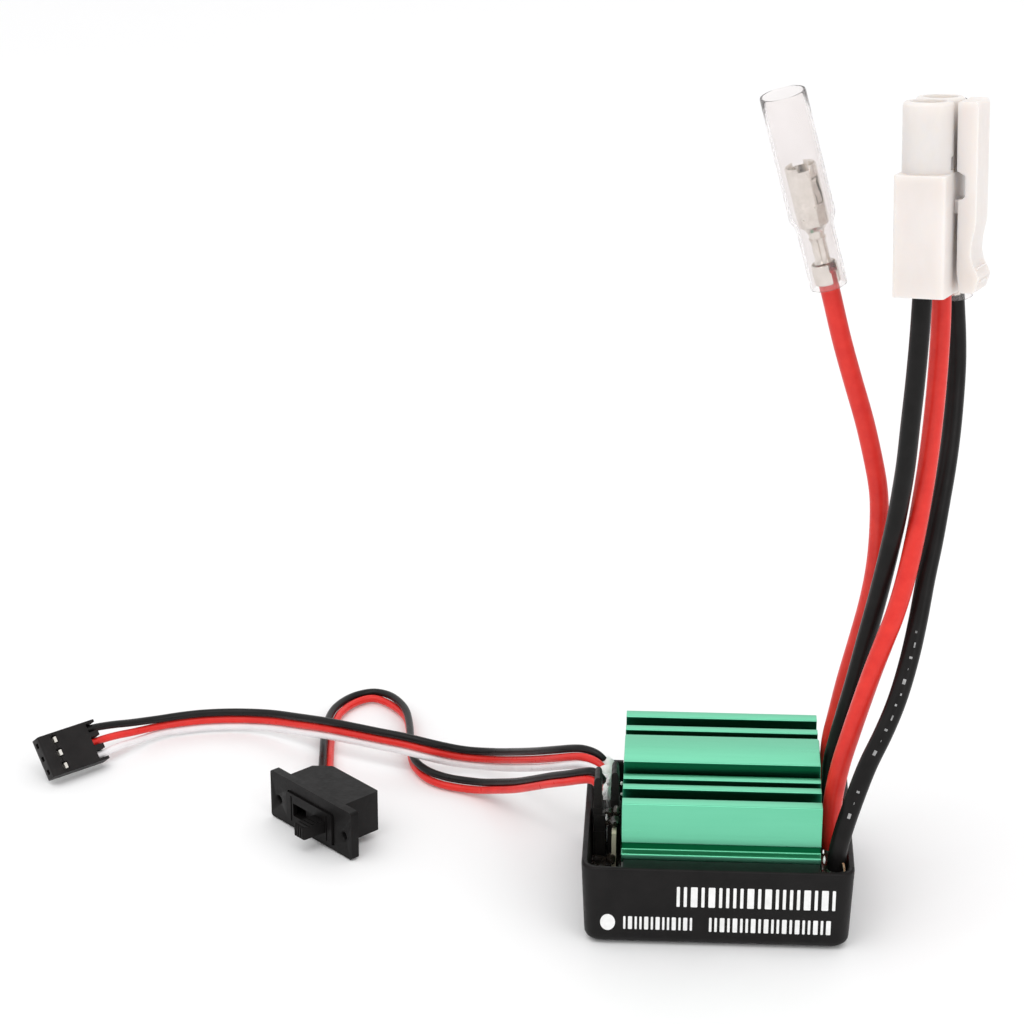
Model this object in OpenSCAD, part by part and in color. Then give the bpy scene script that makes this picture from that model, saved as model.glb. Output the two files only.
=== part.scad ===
// Brushed-motor electronic speed controller: a black tub with a finned heatsink,
// two jumpers, four power leads, a receiver lead and a slide switch on its own cable.
// The tub stands on z = 0, centred on x = y = 0, with the heatsink's fins along X.

/* [Case] */
// Length of the tub over its rim, along X
case_w = 36.5; // [36:0.1:37.5]
// Width of the tub over its rim, along Y
case_d = 32; // [31.8:0.1:32.6]
// Height of the tub's rim
case_h = 11.7; // [11.6:0.1:12]
// Thickness of the tub's walls
case_wall = 0.9; // [0.8:0.05:0.95]
// Radius of the tub's upright corners
case_corner = 2.2; // [1.6:0.1:2.6]
// How much narrower each side is at the bottom
case_draft = 0.45; // [0.2:0.05:0.5]

/* [Heatsink] */
// Length of the extrusion, along X
sink_len = 26.7; // [26:0.1:26.8]
// Outside distance over the two end walls, along Y
sink_span = 28.2; // [28:0.1:28.3]
// Height of the walls' and fins' tops above the table
sink_top = 19.6; // [19:0.1:20.5]
// How far the middle rib stands above the fins
rib_rise = 1.2; // [0.4:0.1:1.6]
// Width of the middle rib
rib_w = 7.8; // [6.8:0.1:8]

/* [Leads] */
// Outside diameter of a power lead
lead_d = 2.6; // [2.4:0.05:2.6]
// Outside diameter of a signal wire
wire_d = 1.2; // [1.0:0.05:1.2]

/* [Switch] */
// Length of the mounting flange
flange_l = 18.4; // [17.8:0.1:19]
// Height of the mounting flange
flange_h = 7.4; // [7.2:0.1:8]
// Distance between the two screw holes
screw_pitch = 14.8; // [14.6:0.1:15]
// Diameter of a screw hole
screw_d = 1.4; // [1.2:0.1:1.8]
// Travel of the lever
switch_travel = 2.6; // [2:0.1:2.6]

/* [Connectors] */
// Bore of a female bullet, for a 3.5 mm pin
bullet_bore = 3.5; // [3.4:0.05:3.5]
// Bore of a battery terminal, for a 2.36 mm pin
terminal_bore = 2.4; // [2.3:0.05:2.5]
// Thickness of the battery plug's body
plug_t = 6.7; // [6.6:0.1:6.8]
// Width of the battery plug's body
plug_w = 14.4; // [14:0.1:15]

/* [Hidden] */
$fn = 32;

// Tub
floor_t = 1.2;
web_x = [-12.7, 13.6];          // the solid fronts between the two wiring pockets
web_y = -12.0;
rebate_z = 11.2;                // the heatsink's foot sits in this rebate
sink_x0 = -12.95;
sink_cy = 1.7;
foot_out = [0.75, 0.15];        // how far the foot stands out past the front and back walls
foot_t = 1.25;

// Heatsink fins, as distances from the middle of the extrusion
wall_t = 1.95;
fin_t = 1.45;
fin_at = [5.9, 8.8];
groove_z = 14.2;

// Boards inside the tub
power_z = 7.3;
power_t = 1.2;
control_z = 2.6;
control_t = 1.0;
fet_h = 2.3;

// Jumpers: two shunts side by side on a four-pin header
jumper_x = [-16.2, -14.15];
jumper_w = 1.7;
jumper_y = [-2.6, 2.14];
jumper_z = [5.9, 13.6];
tab_w = 0.95;
tab_top = [18, 18.9];
tab_shift = [-0.45, 0];
pin_y = [-1.5, 1.04];
pin_side = 0.64;

// Where the four power leads stand in the right pocket: [x, y]
lead_feet = [[15.6, 8.5], [15.6, 3.0], [15.4, -5.5], [15.9, -11.4]];
solder_top = 9.45;

// Routes of the power leads, from the solder joint up to the connector
motor_red_route = [
    [15.6, 8.5, 9.6], [15.5, 8.5, 13], [15.4, 8.5, 18.5], [16.2, 8.3, 23.5],
    [17.2, 8, 29], [18.5, 7.6, 35], [19.8, 7.2, 41.5], [20.5, 6.8, 47.5],
    [20.6, 6.3, 53.5], [20.3, 6, 58], [19.4, 6, 62.5], [18, 6, 68], [16.3, 6, 73.5],
    [14.6, 6, 79.2], [13.05, 6, 85.2], [12.1, 6, 88.75]
];
battery_black_route = [
    [15.6, 3, 9.6], [15.5, 3, 13], [15.5, 3, 18.3], [16.1, 3, 22], [17.1, 2.8, 26.8],
    [18.1, 2.5, 31.5], [19.3, 2, 37.8], [20.5, 1.5, 44], [21.5, 0.4, 50.3],
    [22.35, -0.8, 56.5], [22.8, -1.7, 61], [23.15, -2.5, 65.4], [23.4, -3.3, 71.2],
    [23.7, -3.75, 77], [23.95, -3.65, 83], [24.1, -2.99, 88.3], [24.34, -1.72, 95.49]
];
battery_red_route = [
    [15.4, -5.5, 9.6], [15.3, -5.5, 12.8], [15.4, -5.3, 17.2], [16.2, -5, 22.3],
    [17.4, -4.5, 26.8], [18.8, -4, 31.7], [20.1, -3.5, 36], [21.5, -3, 40.2],
    [22.7, -2.3, 43.6], [23.9, -1.5, 48.3], [24.9, -0.6, 53.7], [25.65, 0.2, 59],
    [26.25, 0.9, 64.3], [26.65, 1.3, 69.7], [26.9, 1.5, 75.2], [27.05, 2, 81.5],
    [26.95, 2.81, 87.3], [26.28, 4.08, 94.5]
];
motor_black_route = [
    [15.9, -11.4, 9.6], [16, -11.4, 12.5], [16.7, -11.2, 16], [17.9, -10.5, 20],
    [19.6, -9.2, 24.7], [21.5, -7.8, 28.6], [23.3, -5.8, 32.7], [24.8, -3.4, 37.5],
    [25.9, -1, 42.3], [26.8, 1.4, 47.2], [27.8, 3.6, 52], [28.6, 5.6, 56.8],
    [29.3, 7.6, 60.9], [29.85, 9.8, 65], [30.2, 11.8, 69.3], [30.35, 13.3, 73.6],
    [30.2, 14.1, 77.4], [29.85, 14.3, 81.2], [29.5, 14.3, 84.9]
];

// Route of the receiver lead's middle wire, from the seal down to the table and on
ribbon_route = [
    [-15.4, 9.4, 12.3], [-16.1, 9.8, 13.4], [-17.2, 10.7, 14], [-18.7, 12, 13.9],
    [-20.2, 13.5, 13.2], [-22.3, 15.8, 11.8], [-24.6, 19, 9.9], [-27, 22.7, 7.8],
    [-29.3, 26.4, 5.8], [-31.7, 29.8, 4], [-34.1, 32.1, 2.9], [-36.65, 33.2, 2.5], [-39.35, 32.95, 3], [-42.55, 32.25, 4.1],
    [-46.25, 33.15, 4.55], [-50.25, 34.5, 4.6], [-54.3, 36.25, 4.5], [-58.5, 38.3, 4.2],
    [-62.6, 41.1, 3.3], [-66.9, 43.9, 2.4], [-71, 45.2, 1.9], [-74.8, 45.2, 1.8],
    [-78.3, 44.6, 1.8], [-81.4, 43.6, 1.8], [-84.2, 42.2, 1.9], [-86.3, 40.5, 2.1],
    [-88, 38.6, 2.5], [-89.6, 36.9, 2.9], [-91, 35.4, 3.15], [-92.4, 34, 3.24],
    [-93.87, 32.53, 3.27]
];
// Route down the middle of the switch's two wires
switch_route = [
    [-15.6, 4.6, 12.4], [-16.3, 4.8, 13.8], [-17.4, 5.3, 14.5], [-18.9, 6.5, 13.8],
    [-21.1, 8.8, 12.2], [-23.6, 11.9, 10.2], [-26.3, 15.4, 7.8], [-28.9, 19.1, 5.4],
    [-31.6, 22.6, 3.4], [-34.1, 25.3, 1.9], [-36.6, 26.9, 1.25], [-39, 27.8, 1.13],
    [-41, 28.8, 1.13], [-42.7, 30.2, 1.17], [-44.2, 32.4, 1.2], [-45.2, 35.3, 1.2],
    [-45.8, 39.5, 1.2], [-46.3, 44.3, 1.2], [-47.2, 49.3, 1.2], [-48.7, 52.6, 1.16],
    [-50.8, 55.3, 1.06], [-53.1, 56.5, 0.95], [-55.4, 55.4, 0.9], [-57.2, 53, 0.87],
    [-58.3, 49.8, 0.87], [-58.6, 45.4, 0.87], [-58.5, 40.8, 0.87], [-58.1, 35.8, 0.87],
    [-57.7, 31, 0.95], [-57.2, 26.5, 1.5], [-57, 23, 2.8], [-56.9, 20.6, 3.5],
    [-56.8, 18.9, 3.7]
];

// Receiver plug: a flat three-way housing that lies on its edge
rx_l = 9.8;
rx_w = 6.4;
rx_t = 2.3;
rx_pos = [-95.69, 30.82, 3.3];
rx_turn = [-40, 0.7, 43.4];
rx_across = [-0.435, 0.474, 0.766];   // from the middle contact towards the black wire's
pin_pitch = 2.1;

// Switch: flange upright on the table, lever towards -X -Y
sw_pos = [-57.75, 11.9, 0];
sw_turn = -45;
flange_t = 1.3;
face_z = 3.2;          // middle of the window, the slot and the screw holes
box_l = 12.4;
box_z = [1.1, 7.3];
box_d = 7.5;
box_cut = 2.1;
window = [10.5, 5.0];
slot = [7.2, 2.0];
lever_x = 2.26;

// Battery plug: upright, its latch towards +X
bp_pos = [25.45, 0, 88.3];
bp_lean = [-10, -1.2, 0];
bp_turn = -18;
bp_body_h = 15.5;
bp_tube_h = 9;
bp_tube_d = 6.5;
bp_pitch = 6.2;
latch_w = 6.4;
bridge_z = [10.3, 12];

// Bullets and their clear sleeves: base point and lean about Y
red_bullet = [12.65, 6, 86.7];
red_lean = -15;
black_bullet = [29.7, 14.3, 82.8];
black_lean = -5.5;
sleeve_l = 26.5;
neck_l = 8.4;
sleeve_d = 6.1;
sleeve_neck_d = 4.9;
sleeve_wall = 0.4;
barrel_z = [8.6, 16.8];
barrel_d = 4.1;

// --- Helpers ---------------------------------------------------------------

function unit(v) = v / norm(v);
function tangent(p, i) = unit(p[min(i + 1, len(p) - 1)] - p[max(i - 1, 0)]);
function flat_to(v, t) = unit(v - (v * t) * t);

// One normal per point, carried along the route without twisting
function normals(p, i = 0, last = [0.3, 1, 0.2]) =
    let (n = flat_to(last, tangent(p, i)))
    i == len(p) - 1 ? [n] : concat([n], normals(p, i + 1, n));

// The points of a wire that runs beside a route, shifted by one vector per point
function beside(p, shifts) = [for (i = [0 : len(p) - 1]) p[i] + shifts[i]];

// A round tube swept along the points p
module tube(p, d, sides = 8) {
    n = normals(p);
    rings = [
        for (i = [0 : len(p) - 1])
            let (t = tangent(p, i), b = cross(t, n[i]))
            for (k = [0 : sides - 1])
                let (a = 360 * k / sides)
                p[i] + d / 2 * (cos(a) * n[i] + sin(a) * b)
    ];
    last = (len(p) - 1) * sides;
    faces = concat(
        [for (i = [0 : len(p) - 2], k = [0 : sides - 1])
            let (a = i * sides + k, b = i * sides + (k + 1) % sides)
            [a, a + sides, b]],
        [for (i = [0 : len(p) - 2], k = [0 : sides - 1])
            let (a = i * sides + k, b = i * sides + (k + 1) % sides)
            [b, a + sides, b + sides]],
        [[for (k = [0 : sides - 1]) k]],
        [[for (k = [sides - 1 : -1 : 0]) last + k]]
    );
    polyhedron(points = rings, faces = faces);
}

// A box from its lowest to its highest corner
module span(low, high) {
    translate(low) cube(high - low);
}

// A flat rectangle with round corners, centred
module round_rect(w, d, r) {
    offset(r = r) square([w - 2 * r, d - 2 * r], center = true);
}

// One thin level of the tub, inset on every side
module level(z, inset, w = case_w, d = case_d, r = case_corner) {
    translate([0, 0, z])
        linear_extrude(0.01)
            round_rect(w - 2 * inset, d - 2 * inset, r - min(inset, r / 2));
}

module at_jumper(i) {
    translate([jumper_x[i], 0, 0]) children();
}

module at_lead_feet() {
    for (f = lead_feet) translate([f[0], f[1], 0]) children();
}

module at_switch() {
    translate(sw_pos) rotate([0, 0, sw_turn]) children();
}

// The receiver plug's own frame: x from nose to wire end, y through its thickness
module at_receiver_plug() {
    translate(rx_pos) rotate(rx_turn) children();
}

module at_battery_plug() {
    translate(bp_pos) rotate(bp_lean) rotate([0, 0, bp_turn]) children();
}

module at_red_bullet() {
    translate(red_bullet) rotate([0, red_lean, 0]) children();
}

module at_black_bullet() {
    translate(black_bullet) rotate([0, black_lean, 0]) children();
}

// A tube with a smaller neck below it and a tapered shoulder between them
module stepped_tube(d_low, d_high, wall) {
    rotate_extrude($fn = 40)
        polygon([
            [d_low / 2 - wall, 0], [d_low / 2, 0], [d_low / 2, neck_l],
            [d_high / 2, neck_l + 1.4], [d_high / 2, sleeve_l],
            [d_high / 2 - wall, sleeve_l], [d_high / 2 - wall, neck_l + 1.4],
            [d_low / 2 - wall, neck_l]
        ]);
}

// --- Case and heatsink -----------------------------------------------------

module case() {
    color("#1c1c1f") tub();
    // four bosses that the control board stands on
    color("#1c1c1f")
        for (x = [-14, 10.5], y = [-9.5, 12])
            translate([x, y, floor_t - 0.1]) cylinder(d = 3, h = control_z - floor_t + 0.1);
}

module tub() {
        difference() {
            hull() {
                level(0, case_draft + 1.1);
                level(0.35, case_draft + 0.35);
                level(1.2, case_draft);
                level(case_h - 0.3, 0);
                level(case_h - 0.01, 0.25);
            }
            difference() {
                hull() {
                    level(floor_t, case_draft, case_w - 2 * case_wall, case_d - 2 * case_wall, 1.3);
                    level(case_h + 0.1, 0, case_w - 2 * case_wall, case_d - 2 * case_wall, 1.3);
                }
                span([web_x[0], -case_d, 0], [web_x[1], web_y, case_h + 1]);
            }
            span([web_x[0] - 1, sink_cy - sink_span / 2 - foot_out[0] - 0.1, rebate_z],
                 [web_x[1] + 1, case_d, case_h + 1]);
        }
}

// Cross-section of the extrusion, drawn in Y and Z
module sink_profile() {
    half = sink_span / 2;
    translate([-half - foot_out[0], rebate_z])
        square([sink_span + foot_out[0] + foot_out[1], foot_t]);
    translate([-half, rebate_z]) square([sink_span, groove_z - rebate_z]);
    for (side = [-1, 1]) {
        translate([side * (half - wall_t / 2) - wall_t / 2, rebate_z])
            square([wall_t, sink_top - rebate_z]);
        for (f = fin_at)
            translate([side * (f - fin_t / 2) - fin_t / 2, rebate_z])
                square([fin_t, sink_top - rebate_z]);
    }
    translate([-rib_w / 2, rebate_z]) square([rib_w, sink_top + rib_rise - rebate_z]);
}

module heatsink() {
    color("#5fd0a0")
        translate([sink_x0, sink_cy, 0])
            rotate([90, 0, 90])
                linear_extrude(sink_len) sink_profile();
}

module thermal_pad() {
    color("#9aa7b4")
        span([-12, -9, power_z + power_t + fet_h], [12.5, 11.5, rebate_z]);
}

// --- Boards and what is on them --------------------------------------------

module mosfets() {
    color("#26262a")
        for (x = [-10.5, -3, 4.5], y = [-8, 3.6])
            span([x, y, power_z + power_t], [x + 6.5, y + 6.1, power_z + power_t + fet_h]);
}

module power_board() {
    color("#2f6b3a")
        union() {
            span([-12.4, -11.6, power_z], [13.9, 14.4, power_z + power_t]);
            span([13.8, -13.6, power_z], [16.9, 12, power_z + power_t]);
        }
}

module board_pins() {
    color("#c9a94e")
        for (i = [0 : 7])
            span([-10 + i * pin_pitch, 12.6, control_z + control_t],
                 [-10 + i * pin_pitch + pin_side, 12.6 + pin_side, power_z]);
}

module control_board() {
    color("#2f6b3a")
        span([-16.6, -11.6, control_z], [12.8, 14.4, control_z + control_t]);
}

module microcontroller() {
    color("#202024")
        span([-6, -3, control_z + control_t], [1, 4, control_z + control_t + 1.2]);
}

module capacitors() {
    color("#b8b8be")
        for (x = [4.5, 9], y = [-6, 0, 6])
            translate([x, y, control_z + control_t]) cylinder(d = 3.6, h = 3.2);
}

module regulators() {
    color("#26262a")
        for (y = [-9.5, 7])
            span([-5.5, y, control_z + control_t], [-0.5, y + 4, control_z + control_t + 1.6]);
}

module daughter_board() {
    color("#e6dfc4")
        span([-14.4, -6, control_z + control_t], [-13.8, -3.3, 11.6]);
}

// --- Jumpers ---------------------------------------------------------------

module jumper_base() {
    color("#1a1a1c")
        difference() {
            span([-16.9, -2.5, control_z + control_t], [-13.35, 2, jumper_z[0] - 0.05]);
            for (x = jumper_x, y = pin_y)
                span([x - pin_side / 2, y - pin_side / 2, 0], [x + pin_side / 2, y + pin_side / 2, 9]);
        }
}

module jumper_pins() {
    color("#d8bf6a")
        for (x = jumper_x, y = pin_y)
            span([x - pin_side / 2, y - pin_side / 2, control_z + control_t],
                 [x + pin_side / 2, y + pin_side / 2, 10.5]);
}

module jumper_cap(shift, top) {
    tab_y = [jumper_y[0] + 0.5, jumper_y[1] - 0.5];
    difference() {
        union() {
            span([-jumper_w / 2, jumper_y[0], jumper_z[0]], [jumper_w / 2, jumper_y[1], jumper_z[1]]);
            translate([0, tab_y[1], 0])
                rotate([90, 0, 0])
                    linear_extrude(tab_y[1] - tab_y[0])
                        union() {
                            translate([shift - tab_w / 2, jumper_z[1] - 0.1])
                                square([tab_w, top - tab_w / 2 - jumper_z[1] + 0.1]);
                            translate([shift, top - tab_w / 2]) circle(d = tab_w);
                        }
        }
        span([-0.5, jumper_y[0] + 0.35, 0], [0.5, jumper_y[1] - 0.35, 12.1]);
    }
}

// The bridge that joins the two pins, inside the cap
module jumper_clip() {
    span([-0.4, -2.2, 11], [0.4, 1.74, 12.1]);
    span([-0.4, -2.2, 6.6], [0.4, -1.88, 11.1]);
    span([-0.4, 1.42, 6.6], [0.4, 1.74, 11.1]);
}

module jumper_a_cap() { color("#161618") at_jumper(0) jumper_cap(tab_shift[0], tab_top[0]); }
module jumper_b_cap() { color("#161618") at_jumper(1) jumper_cap(tab_shift[1], tab_top[1]); }
module jumper_a_clip() { color("#d8bf6a") at_jumper(0) jumper_clip(); }
module jumper_b_clip() { color("#d8bf6a") at_jumper(1) jumper_clip(); }

// --- Seals and joints where the wires enter --------------------------------

module signal_seal() {
    seal_x = [-16.8, -14.3];
    color("#eeeeea")
        union() {
            span([seal_x[0], 2.9, control_z + control_t], [seal_x[1], 14.3, 12.6]);
            for (y = [6.9, 9.4, 12])
                translate([seal_x[0], y, 12.8])
                    rotate([0, 90, 0]) cylinder(r = 1.35, h = seal_x[1] - seal_x[0]);
            translate([seal_x[0], 4.4, 12.2])
                rotate([0, 90, 0]) cylinder(r = 1.3, h = seal_x[1] - seal_x[0]);
        }
}

module lead_potting() {
    color("#151312")
        difference() {
            span([14, -14.4, power_z + power_t], [16.9, 12.4, 10.1]);
            at_lead_feet() cylinder(r = lead_d / 2 + 0.25, h = 30);
        }
}

module lead_solder() {
    color("#b9a58a")
        at_lead_feet()
            translate([0, 0, power_z + power_t])
                cylinder(d1 = 2.6, d2 = 1.9, h = solder_top - power_z - power_t);
}

// --- Power leads and signal wires ------------------------------------------

module battery_lead_black() { color("#222224") tube(battery_black_route, lead_d); }
module battery_lead_red() { color("#d83a30") tube(battery_red_route, lead_d); }
module motor_lead_red() { color("#d83a30") tube(motor_red_route, lead_d); }
module motor_lead_black() { color("#222224") tube(motor_black_route, lead_d); }

// The three receiver wires: 2.6 mm apart at the seal, stacked on edge along the table,
// and at the contact pitch in the plug
ribbon_end = len(ribbon_route) - 1;
ribbon_shift = [
    for (i = [0 : ribbon_end])
        let (
            leave = max(0, 1 - i / 6),
            enter = max(0, min(1, 1.2 - (ribbon_end - i) / 5)),
            up = wire_d * flat_to([0, 0, 1], tangent(ribbon_route, i))
        )
        leave * [0, 2.6, 0] + (1 - leave - enter) * up + enter * pin_pitch * rx_across
];

module receiver_wire_black() { color("#222224") tube(beside(ribbon_route, ribbon_shift), wire_d - 0.1); }
module receiver_wire_red() { color("#d83a30") tube(ribbon_route, wire_d - 0.1); }
module receiver_wire_white() { color("#f0f0f0") tube(beside(ribbon_route, -1 * ribbon_shift), wire_d - 0.1); }

// The two switch wires: one beside the other, turned until the black one lies on top
pair_shift = [
    for (i = [0 : len(switch_route) - 1])
        let (
            side = cross(tangent(switch_route, i), [0, 0, 1]),
            stack = lookup(i, [[0, 0], [1.5, 0.7], [12, 0.7], [14, 1], [18, 1], [21, 0.35], [27, 0.35], [30, 0]])
        )
        (i == 0 ? 0.8 : wire_d / 2) * unit((1 - stack) * unit([side[0], side[1], 0]) + [0, 0, stack])
];

module switch_wire_black() { color("#222224") tube(beside(switch_route, pair_shift), wire_d - 0.1); }
module switch_wire_red() { color("#d83a30") tube(beside(switch_route, -1 * pair_shift), wire_d - 0.1); }

// --- Receiver plug ---------------------------------------------------------

module receiver_plug() {
    color("#1e1e20")
        at_receiver_plug()
            difference() {
                intersection() {
                    span([-rx_l / 2, -rx_t / 2, -rx_w / 2], [rx_l / 2, rx_t / 2, rx_w / 2]);
                    // two long edges are bevelled at the nose
                    rotate([90, 0, 0])
                        linear_extrude(rx_t + 1, center = true)
                            offset(delta = 0.5, chamfer = true)
                                square([rx_l - 1, rx_w - 1], center = true);
                }
                for (k = [-1, 0, 1])
                    translate([0, 0, k * pin_pitch]) {
                        span([-rx_l, -0.38, -0.38], [rx_l, 0.38, 0.38]);
                        span([2.2, -0.78, -0.78], [rx_l, 0.78, 0.78]);
                        span([-2.9, -rx_t, -0.62], [-1.8, 0, 0.62]);
                        span([3.3, -rx_t, -0.7], [rx_l, 0, 0.7]);
                    }
            }
}

module receiver_contacts() {
    color("#d9d2c0")
        at_receiver_plug()
            for (k = [-1, 0, 1])
                translate([0, 0, k * pin_pitch])
                    span([-4.1, -0.36, -0.36], [2.4, 0.36, 0.36]);
}

// --- Switch ----------------------------------------------------------------

module switch_housing() {
    color("#1b1b1d")
        at_switch()
            difference() {
                union() {
                    span([-flange_l / 2, 0, 0], [flange_l / 2, flange_t, flange_h]);
                    translate([0, 0, box_z[0]])
                        linear_extrude(box_z[1] - box_z[0])
                            polygon([
                                [-box_l / 2, 0.2], [box_l / 2, 0.2], [box_l / 2, box_d],
                                [-box_l / 2 + box_cut, box_d], [-box_l / 2, box_d - box_cut]
                            ]);
                }
                for (side = [-1, 1])
                    translate([side * screw_pitch / 2, -1, face_z])
                        rotate([-90, 0, 0]) cylinder(d = screw_d, h = flange_t + 2);
                span([-window[0] / 2, -1, face_z - window[1] / 2],
                     [window[0] / 2, flange_t + 0.05, face_z + window[1] / 2]);
                span([-5.1, flange_t - 0.1, face_z - 1.6], [5.1, 6.2, face_z + window[1] / 2]);
                // way out for the two wires, through the bevelled corner
                translate([-box_l / 2 + box_cut / 2, box_d - box_cut / 2, 3.7])
                    rotate([0, 0, 45])
                        cube([2.6, 3, 1.5], center = true);
            }
}

module switch_insert() {
    color("#2a2a2c")
        at_switch()
            translate([0, 0, face_z])
                difference() {
                    union() {
                        span([-window[0] / 2 + 0.15, -0.35, -2.4], [window[0] / 2 - 0.15, flange_t, 2.4]);
                        span([-5, flange_t - 0.1, -1.5], [5, 4.6, 2.4]);
                    }
                    span([-slot[0] / 2, -1, -slot[1] / 2], [slot[0] / 2, 0.5, slot[1] / 2]);
                    // room behind the face for the lever's sliding plate
                    span([-4.75, 0.4, -slot[1] / 2], [4.75, 2.6, slot[1] / 2]);
                }
}

// Lever at its right-hand stop: a sliding plate behind the face, and the part that a finger pushes
module switch_lever() {
    color("#151517")
        at_switch()
            translate([lever_x, 0, face_z])
                union() {
                    span([-4.1, 0.6, -0.9], [1.15, 2.3, 0.9]);
                    span([-1.3, -3.9, -0.92], [1.25, 0.7, 0.92]);
                    for (i = [0 : 3])
                        span([-1.3, -3.7 + i * 0.7, 0.9], [1.25, -3.4 + i * 0.7, 1.05]);
                }
}

module switch_terminals() {
    color("#cfcfc8")
        at_switch()
            for (x = [-2.5, 0, 2.5])
                span([x - 0.5, 4.6, face_z - 0.15], [x + 0.5, 6, face_z + 0.15]);
}

// --- Battery plug ----------------------------------------------------------

module battery_plug() {
    color("#f1efe6")
        at_battery_plug()
            difference() {
                union() {
                    linear_extrude(bp_body_h)
                        offset(delta = 0.4, chamfer = true)
                            square([plug_t - 0.8, plug_w - 0.8], center = true);
                    for (side = [-1, 1])
                        translate([0, side * bp_pitch / 2, bp_body_h - 0.1])
                            cylinder(d = bp_tube_d, h = bp_tube_h + 0.1);
                    // bridge that the latch flexes on
                    span([plug_t / 2 - 0.2, -latch_w / 2 + 1, bridge_z[0]],
                         [plug_t / 2 + 0.53, latch_w / 2 - 1, bridge_z[1]]);
                }
                for (side = [-1, 1])
                    translate([0, side * bp_pitch / 2, -1])
                        cylinder(d = 3.9, h = bp_body_h + bp_tube_h + 2);
            }
}

// The latch lever: thick head beside the tubes, thumb pad at the bottom, all clear of the body
module battery_latch() {
    x0 = plug_t / 2 + 0.65;
    color("#f1efe6")
        at_battery_plug()
            translate([0, latch_w / 2, 0])
                rotate([90, 0, 0])
                    linear_extrude(latch_w)
                        polygon([
                            [x0, 12.2], [x0, 3], [x0 + 0.4, 0.3], [x0 + 2.3, 0.3], [x0 + 2.9, 2.2],
                            [x0 + 2, 4], [x0 + 1.75, 5.2], [x0 + 1.85, 6.8], [x0 + 2.35, 9.3],
                            [x0 + 2.4, 24.1], [x0 + 2.1, 24.5], [x0 - 0.2, 24.5], [x0 - 0.2, 15.8],
                            [x0 + 0.9, 15.2], [x0 + 0.9, 12.6], [x0 + 0.5, 12.2]
                        ]);
}

module battery_terminals() {
    color("#d9cfae")
        at_battery_plug()
            for (side = [-1, 1])
                translate([0, side * bp_pitch / 2, 0])
                    difference() {
                        union() {
                            translate([0, 0, 11]) cylinder(d = 3.3, h = 12.4);
                            translate([0, 0, 4]) cylinder(d = 3.4, h = 3.6);
                            translate([0, 0, 7.4]) cylinder(d = 2.6, h = 3.8);
                        }
                        translate([0, 0, 13.4]) cylinder(d = terminal_bore, h = 12);
                        translate([0, 0, -1]) cylinder(d = 2.8, h = 8);
                    }
}

// --- Motor bullets and sleeves ---------------------------------------------

module bullet() {
    difference() {
        union() {
            translate([0, 0, barrel_z[0]]) cylinder(d = barrel_d, h = barrel_z[1] - barrel_z[0], $fn = 40);
            translate([0, 0, 3.2]) cylinder(d = 2.2, h = 5.5);
            translate([0, 0, 0.5]) cylinder(d = 3.4, h = 2.8);
        }
        translate([0, 0, barrel_z[0] + 1]) cylinder(d = bullet_bore, h = 12, $fn = 40);
        translate([0, 0, -1]) cylinder(d = lead_d + 0.3, h = 3.2);
    }
}

module motor_bullet_red() { color("#cfcac0") at_red_bullet() bullet(); }
module motor_bullet_black() { color("#cfcac0") at_black_bullet() bullet(); }

module motor_sleeve_red() {
    color("#e9eef0", 0.4) at_red_bullet() stepped_tube(sleeve_neck_d, sleeve_d, sleeve_wall);
}

module motor_sleeve_black() {
    color("#e9eef0", 0.4) at_black_bullet() stepped_tube(sleeve_neck_d, sleeve_d, sleeve_wall);
}

case();
heatsink();
thermal_pad();
mosfets();
power_board();
board_pins();
control_board();
microcontroller();
capacitors();
regulators();
daughter_board();
jumper_base();
jumper_pins();
jumper_a_cap();
jumper_a_clip();
jumper_b_cap();
jumper_b_clip();
signal_seal();
lead_potting();
lead_solder();
battery_lead_black();
battery_lead_red();
motor_lead_red();
motor_lead_black();
receiver_wire_black();
receiver_wire_red();
receiver_wire_white();
switch_wire_black();
switch_wire_red();
receiver_plug();
receiver_contacts();
switch_housing();
switch_insert();
switch_lever();
switch_terminals();
battery_plug();
battery_latch();
battery_terminals();
motor_bullet_red();
motor_bullet_black();
motor_sleeve_red();
motor_sleeve_black();
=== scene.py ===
from math import acos, atan2, cos, exp, hypot, pi, radians, sin, sqrt, tan

import bmesh
import bpy
from mathutils import Matrix, Vector, noise


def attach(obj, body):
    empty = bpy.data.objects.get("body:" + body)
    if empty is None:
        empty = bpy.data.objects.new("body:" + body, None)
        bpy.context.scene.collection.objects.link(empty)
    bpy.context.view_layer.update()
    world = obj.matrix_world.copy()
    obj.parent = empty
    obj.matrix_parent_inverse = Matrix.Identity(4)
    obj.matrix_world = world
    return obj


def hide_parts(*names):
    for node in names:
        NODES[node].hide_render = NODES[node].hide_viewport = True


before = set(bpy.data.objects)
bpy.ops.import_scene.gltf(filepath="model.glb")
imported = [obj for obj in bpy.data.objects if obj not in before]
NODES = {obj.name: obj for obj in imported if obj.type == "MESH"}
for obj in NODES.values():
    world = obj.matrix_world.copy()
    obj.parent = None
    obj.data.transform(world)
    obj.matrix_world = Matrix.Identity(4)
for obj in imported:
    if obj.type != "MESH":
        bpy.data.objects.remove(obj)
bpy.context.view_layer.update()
MM = 0.001
scene = bpy.context.scene


# ---- camera
cam_data = bpy.data.cameras.new("camera")
cam_data.lens = 114.9
cam_data.sensor_width = 36
cam_data.clip_start = 0.02
cam_data.clip_end = 20
cam = bpy.data.objects.new("camera", cam_data)
cam.location = (-0.0063, -0.3988, 0.2248)
cam.rotation_euler = (radians(67.12), 0, radians(3.16))
scene.collection.objects.link(cam)
scene.camera = cam
scene.view_settings.view_transform = "Standard"


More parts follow.
